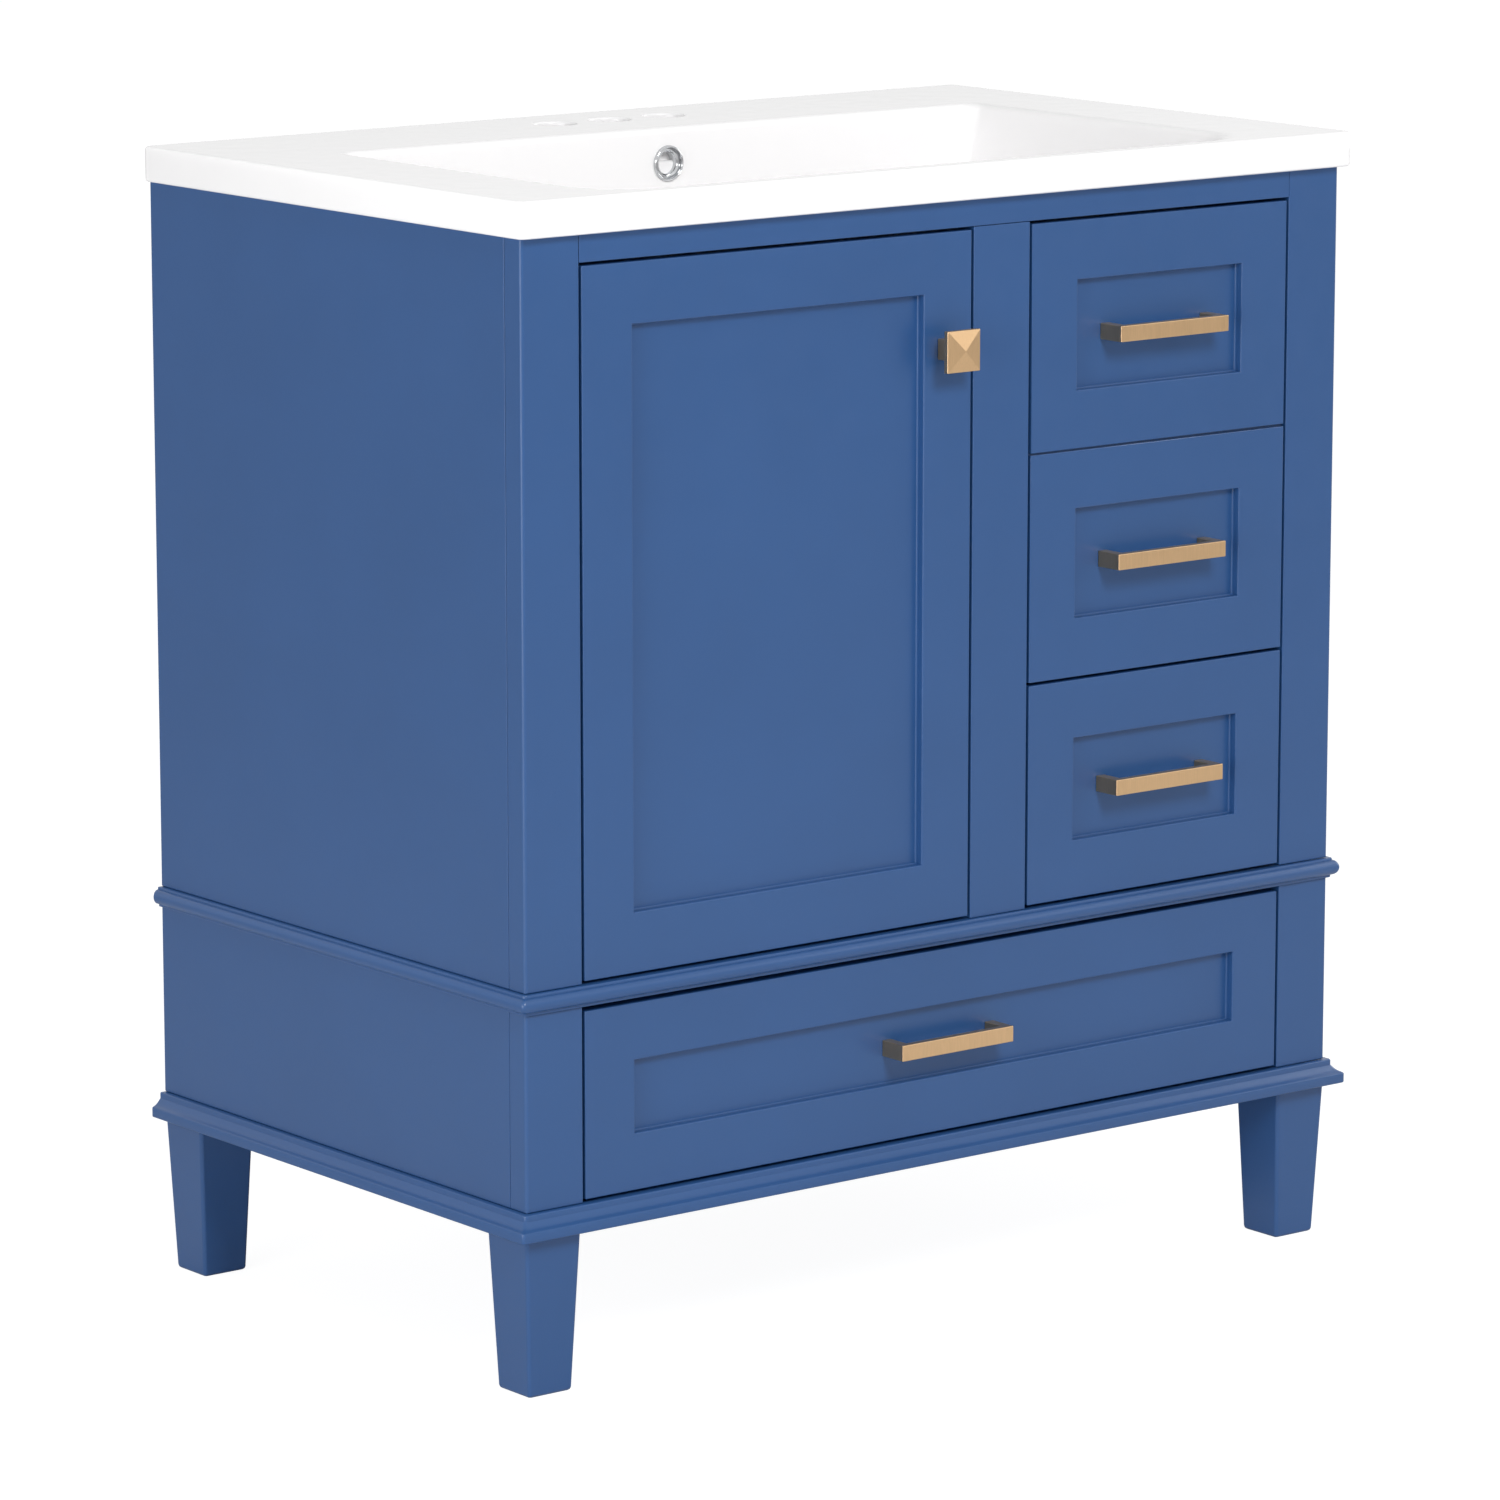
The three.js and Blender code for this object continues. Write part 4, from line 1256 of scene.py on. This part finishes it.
class VANITY_OT_hinges(bpy.types.Operator):
    """Cup hinges: a pressed cup in the door and a folded arm on the post, at each of two heights"""

    bl_idname = "vanity.hinges"
    bl_label = "Hinges"

    cup_radius = 0.0172
    cup_depth = 0.0115
    cup_sheet = 0.0016
    flange_radius = 0.0193
    flange_back = 0.0015  # how far the flange and the ears reach behind the door
    ear_half = 0.008
    ear_bite = 0.001  # of an ear into the cup's wall
    ear_screw = 0.005  # from an ear's tip
    pins = ((-0.006, 0.012), (0.004, 0.013))  # each pin's x and half its length
    pin_radius = 0.0018
    pin_arris = 0.0003
    pin_drop = 0.005  # from the door's back face
    arm_sheet = 0.0014
    arm_half = 0.006
    arm_bite = 0.0002  # of the arm into its plate
    arm_start = 0.008  # this and the plate's own distances are from its left end
    arm_screws = (0.008, 0.022)  # from the arm's start
    arm_screw_radius, arm_screw_sunk = 0.003, 0.0008
    plate_end = 0.026
    plate_thickness = 0.0025
    plate_screw = 0.012
    plate_screw_radius = 0.004
    plate_screw_reach = 0.016  # above and below the plate's middle
    corner_round = 0.004

    def execute(self, context):
        self.shapes = context.scene.vanity_shapes
        self.steel = finish("zinc_steel")
        for node in nodes_named("hinge_cup"):
            self.cup(node)
            self.arm(node.replace("cup", "arm"))
        return {"FINISHED"}

    def cup(self, node):
        """A round cup with a flange, two ears with screws, and the pins that cross it."""
        low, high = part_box(node)
        centre = (low + high) / 2
        back = low.y + self.cup_depth  # the door's back face
        outer, depth, sheet = self.cup_radius, self.cup_depth, self.cup_sheet
        inner, flange, behind = outer - sheet, self.flange_radius, self.flange_back
        curve, knee, arris, lip, mouth, hollow = 0.002, 0.0006, 0.0004, 0.0006, 0.0008, 0.001
        profile = [
            (0, -depth), (outer - curve, -depth), (outer - knee, knee - depth),
            (outer, curve - depth), (outer, SEAM), (flange, SEAM), (flange, behind - arris),
            (flange - arris, behind), (inner + lip, behind), (inner, mouth),
            (inner, sheet + hollow - depth), (inner - hollow, sheet - depth), (0, sheet - depth),
        ]
        bm = new_mesh()
        add_turned(bm, profile, Vector((centre.x, back, centre.z)))
        ear_end = high.z - centre.z
        for side in (-1, 1):
            tip_z = centre.z + side * ear_end
            ends = sorted((centre.z + side * (outer - self.ear_bite), tip_z))
            ear = add_block(
                bm, (centre.x - self.ear_half, back + SEAM, ends[0]),
                (centre.x + self.ear_half, back + behind, ends[1]),
            )
            tip = [e for e in edges_of_verts(ear) if all(lies_at(v, {"z": tip_z}) for v in e.verts)]
            ease(bm, [edge for edge in tip if not runs_along(edge, "x")], self.corner_round)
            screw_z = centre.z + side * (ear_end - self.ear_screw)
            screw_head(bm, Vector((centre.x, back + behind, screw_z)))
        for x, half_length in self.pins:
            place = Matrix.Translation((centre.x + x, back - self.pin_drop, centre.z))
            edges = add_disc(bm, self.pin_radius, self.pin_radius, 2 * half_length, place)
            ease(bm, [edge for edge in edges if not runs_along(edge, "z")], self.pin_arris)
        piece(bm, node, self.steel)

    def arm(self, node):
        """A plate screwed to the post, and a folded arm on it with two adjusting screws."""
        low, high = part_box(node)
        plate_back = low.y + self.plate_thickness
        middle_z = (low.z + high.z) / 2
        bm = block(low, (low.x + self.plate_end, plate_back, high.z))
        ease(bm, bm.edges, self.shapes.joint_arris)
        ease(bm, [edge for edge in bm.edges if runs_along(edge, "y")], self.corner_round)
        foot, back, sheet = plate_back - self.arm_bite, high.y, self.arm_sheet
        bottom, top = middle_z - self.arm_half, middle_z + self.arm_half
        section = [
            (foot, bottom), (back, bottom), (back, top), (foot, top),
            (foot, top - sheet), (back - sheet, top - sheet),
            (back - sheet, bottom + sheet), (foot, bottom + sheet),
        ]
        arm_start = low.x + self.arm_start
        faces = add_run(bm, section, "x", arm_start, high.x)
        edges = edges_of_faces(faces)
        folds = [edge for edge in edges if all(lies_at(vert, {"y": back}) for vert in edge.verts)]
        ease(bm, folds, sheet)
        for reach in (-self.plate_screw_reach, self.plate_screw_reach):
            place = Vector((low.x + self.plate_screw, plate_back, middle_z + reach))
            screw_head(bm, place, self.plate_screw_radius)
        for along in self.arm_screws:
            place = Vector((arm_start + along, back - self.arm_screw_sunk, middle_z))
            screw_head(bm, place, self.arm_screw_radius)
        piece(bm, node, self.steel)


class VANITY_OT_slides(bpy.types.Operator):
    """Drawer slides: a channel on the cabinet, and a narrower one on the drawer inside it"""

    bl_idname = "vanity.slides"
    bl_label = "Drawer Slides"

    sheet = 0.0014
    outer_fold, inner_fold = 0.0016, 0.0004
    rivets = (0.037, 0.165, 0.330)  # from the channel's front end
    rivet_radii = (0.0036, 0.0026)  # at its foot and at its top
    rivet_height = 0.001
    rivet_round = 0.0002

    def execute(self, context):
        for drawer in DRAWERS:
            for hand, outward in zip(LEFT_AND_RIGHT, (-1, 1)):
                self.channel(f"{drawer}_slide_{hand}", outward)
                self.channel(f"{drawer}_runner_{hand}", -outward)
        return {"FINISHED"}

    def channel(self, node, outward):
        """A folded channel whose web stands on its outward side."""
        low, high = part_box(node)
        web, lip = (high.x, low.x) if outward > 0 else (low.x, high.x)
        inside = web - outward * self.sheet
        floor, roof = low.z + self.sheet, high.z - self.sheet
        section = [
            (web, low.z), (lip, low.z), (lip, floor), (inside, floor),
            (inside, roof), (lip, roof), (lip, high.z), (web, high.z),
        ]
        bm = run_of(section, "y", low.y, high.y)
        for x, radius in ((web, self.outer_fold), (inside, self.inner_fold)):
            ease(bm, [edge for edge in edges_at(bm, x=x) if runs_along(edge, "y")], radius)
        rivet_x = inside - outward * self.rivet_height / 2
        facing = Matrix.Rotation(-outward * math.pi / 2, 4, "Y")
        for y in self.rivets:
            place = Matrix.Translation((rivet_x, low.y + y, (low.z + high.z) / 2))
            edges = add_disc(bm, *self.rivet_radii, self.rivet_height, place @ facing)
            ease(bm, [edge for edge in edges if not runs_along(edge, "x")], self.rivet_round)
        piece(bm, node, finish("zinc_steel"), rounds=2)


class VANITY_OT_drawer_boxes(bpy.types.Operator):
    """Plywood sides, backs and bottoms of the three drawer boxes"""

    bl_idname = "vanity.drawer_boxes"
    bl_label = "Drawer Boxes"

    boards = (("left", "y", "x"), ("right", "y", "x"), ("back", "x", "y"), ("bottom", "y", "z"))

    def execute(self, context):
        shapes = context.scene.vanity_shapes
        for drawer in DRAWERS:
            for part, grain, thickness in self.boards:
                node = f"{drawer}_box_{part}"
                upper = {"z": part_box(node)[1].z}
                rounded = [] if part == "bottom" else [(2 * shapes.arris, upper)]
                birch = finish("birch_board", grain, thickness)
                board(node, birch, shapes.joint_arris, rounded)
        return {"FINISHED"}


# Stage -------------------------------------------------------------------------------------------


class VANITY_OT_stage(bpy.types.Operator):
    """Camera, floor, lamps and sky"""

    bl_idname = "vanity.stage"
    bl_label = "Stage"

    lamps = (  # name, place and diameter
        ("key", (-0.72, -3.1, 2.75), 1.3),
        ("fill", (-3.2, -0.9, 0.9), 2.0),
        ("top", (0, 0, 3.4), 2.4),
        ("side", (3.0, -0.4, 1.3), 1.6),
        ("bounce", (2.2, -2.7, 1.6), 1.5),
    )
    lamp_target = (0, 0, 0.45)
    sensor_width = 36.0
    floor_reach = 40.0
    glow_strength = 1.25
    glow_share = 0.75  # of what the camera sees; the rest is the lit floor with its shadow

    def execute(self, context):
        stage = context.scene.vanity_stage
        self.camera(context.scene, stage)
        self.floor(context.scene, stage)
        for name, place, size in self.lamps:
            self.lamp(context.scene, f"{name}_lamp", getattr(stage, name), place, size)
        self.sky(context.scene, stage)
        context.scene.view_settings.view_transform = "Standard"
        return {"FINISHED"}

    def camera(self, scene, stage):
        data = bpy.data.cameras.new("camera")
        data.lens = stage.lens
        data.sensor_width = self.sensor_width
        camera = bpy.data.objects.new("camera", data)
        camera.location = stage.stand
        camera.rotation_euler = (math.pi / 2 - stage.dip, 0, -stage.turn)
        scene.collection.objects.link(camera)
        scene.camera = camera

    def floor(self, scene, stage):
        bm = bmesh.new()
        bmesh.ops.create_grid(bm, x_segments=1, y_segments=1, size=self.floor_reach)
        mesh = bpy.data.meshes.new("floor")
        bm.to_mesh(mesh)
        bm.free()
        floor = bpy.data.objects.new("floor", mesh)
        scene.collection.objects.link(floor)
        mesh.materials.append(self.floor_finish(stage))

    def floor_finish(self, stage):
        """Matt pale floor that the camera sees as white, with the cabinet's shadow kept."""
        floor = Shading("floor")
        floor.fix("Base Color", (*stage.floor, 1.0))
        floor.fix("Roughness", 1.0)
        floor.fix("Specular IOR Level", 0.0)
        glow = floor.add("ShaderNodeEmission")
        glow.inputs["Strength"].default_value = self.glow_strength
        path = floor.add("ShaderNodeLightPath")
        share = floor.add("ShaderNodeMath", operation="MULTIPLY")
        share.inputs[1].default_value = self.glow_share
        floor.link(path.outputs["Is Camera Ray"], share.inputs[0])
        mix = floor.add("ShaderNodeMixShader")
        floor.link(share.outputs[0], mix.inputs[0])
        floor.link(floor.shader.outputs[0], mix.inputs[1])
        floor.link(glow.outputs[0], mix.inputs[2])
        floor.link(mix.outputs[0], floor.tree.nodes["Material Output"].inputs["Surface"])
        return floor.material

    def lamp(self, scene, name, watts, place, size):
        """A round lamp that faces the cabinet's middle."""
        data = bpy.data.lights.new(name, "AREA")
        data.energy = watts
        data.shape = "DISK"
        data.size = size
        lamp = bpy.data.objects.new(name, data)
        lamp.location = place
        heading = Vector(self.lamp_target) - Vector(place)
        lamp.rotation_euler = heading.to_track_quat("-Z", "Y").to_euler()
        scene.collection.objects.link(lamp)

    def sky(self, scene, stage):
        """An even pale sky that is white to the camera and in reflections."""
        world = bpy.data.worlds.new("sky")
        world.use_nodes = True
        scene.world = world
        tree = world.node_tree
        background = tree.nodes["Background"]
        background.inputs["Color"].default_value = (1, 1, 1, 1)
        path = tree.nodes.new("ShaderNodeLightPath")
        seen = tree.nodes.new("ShaderNodeMath")
        seen.operation = "MAXIMUM"
        strength = tree.nodes.new("ShaderNodeMapRange")
        strength.inputs["To Min"].default_value = stage.sky
        strength.inputs["To Max"].default_value = 1.0
        tree.links.new(path.outputs["Is Camera Ray"], seen.inputs[0])
        tree.links.new(path.outputs["Is Glossy Ray"], seen.inputs[1])
        tree.links.new(seen.outputs[0], strength.inputs["Value"])
        tree.links.new(strength.outputs["Result"], background.inputs["Strength"])


# Panel and registration --------------------------------------------------------------------------


PIECES = (
    VANITY_OT_stage,
    VANITY_OT_frame_boards,
    VANITY_OT_moulded_boards,
    VANITY_OT_legs,
    VANITY_OT_inner_boards,
    VANITY_OT_basin_top,
    VANITY_OT_overflow_ring,
    VANITY_OT_fronts,
    VANITY_OT_knob,
    VANITY_OT_pulls,
    VANITY_OT_hinges,
    VANITY_OT_slides,
    VANITY_OT_drawer_boxes,
)

GROUPS = (
    ("vanity_shapes", VanityShapes),
    ("vanity_finishes", VanityFinishes),
    ("vanity_stage", VanityStage),
)


class VANITY_PT_panel(bpy.types.Panel):
    """Sizes, finishes and pieces of the vanity cabinet"""

    bl_idname = "VANITY_PT_panel"
    bl_label = "Vanity Cabinet"
    bl_space_type = "VIEW_3D"
    bl_region_type = "UI"
    bl_category = "Vanity"

    def draw(self, context):
        layout = self.layout
        for name, group in GROUPS:
            box = layout.box()
            for prop in group.__annotations__:
                box.prop(getattr(context.scene, name), prop)
        for operator in PIECES:
            layout.operator(operator.bl_idname)


def register():
    for name, group in GROUPS:
        bpy.utils.register_class(group)
        setattr(bpy.types.Scene, name, PointerProperty(type=group))
    for operator in PIECES:
        bpy.utils.register_class(operator)
    bpy.utils.register_class(VANITY_PT_panel)


def unregister():
    bpy.utils.unregister_class(VANITY_PT_panel)
    for operator in reversed(PIECES):
        bpy.utils.unregister_class(operator)
    for name, group in reversed(GROUPS):
        delattr(bpy.types.Scene, name)
        bpy.utils.unregister_class(group)


def main():
    register()
    for operator in PIECES:
        group, name = operator.bl_idname.split(".")
        getattr(getattr(bpy.ops, group), name)()


if __name__ == "__main__":
    main()
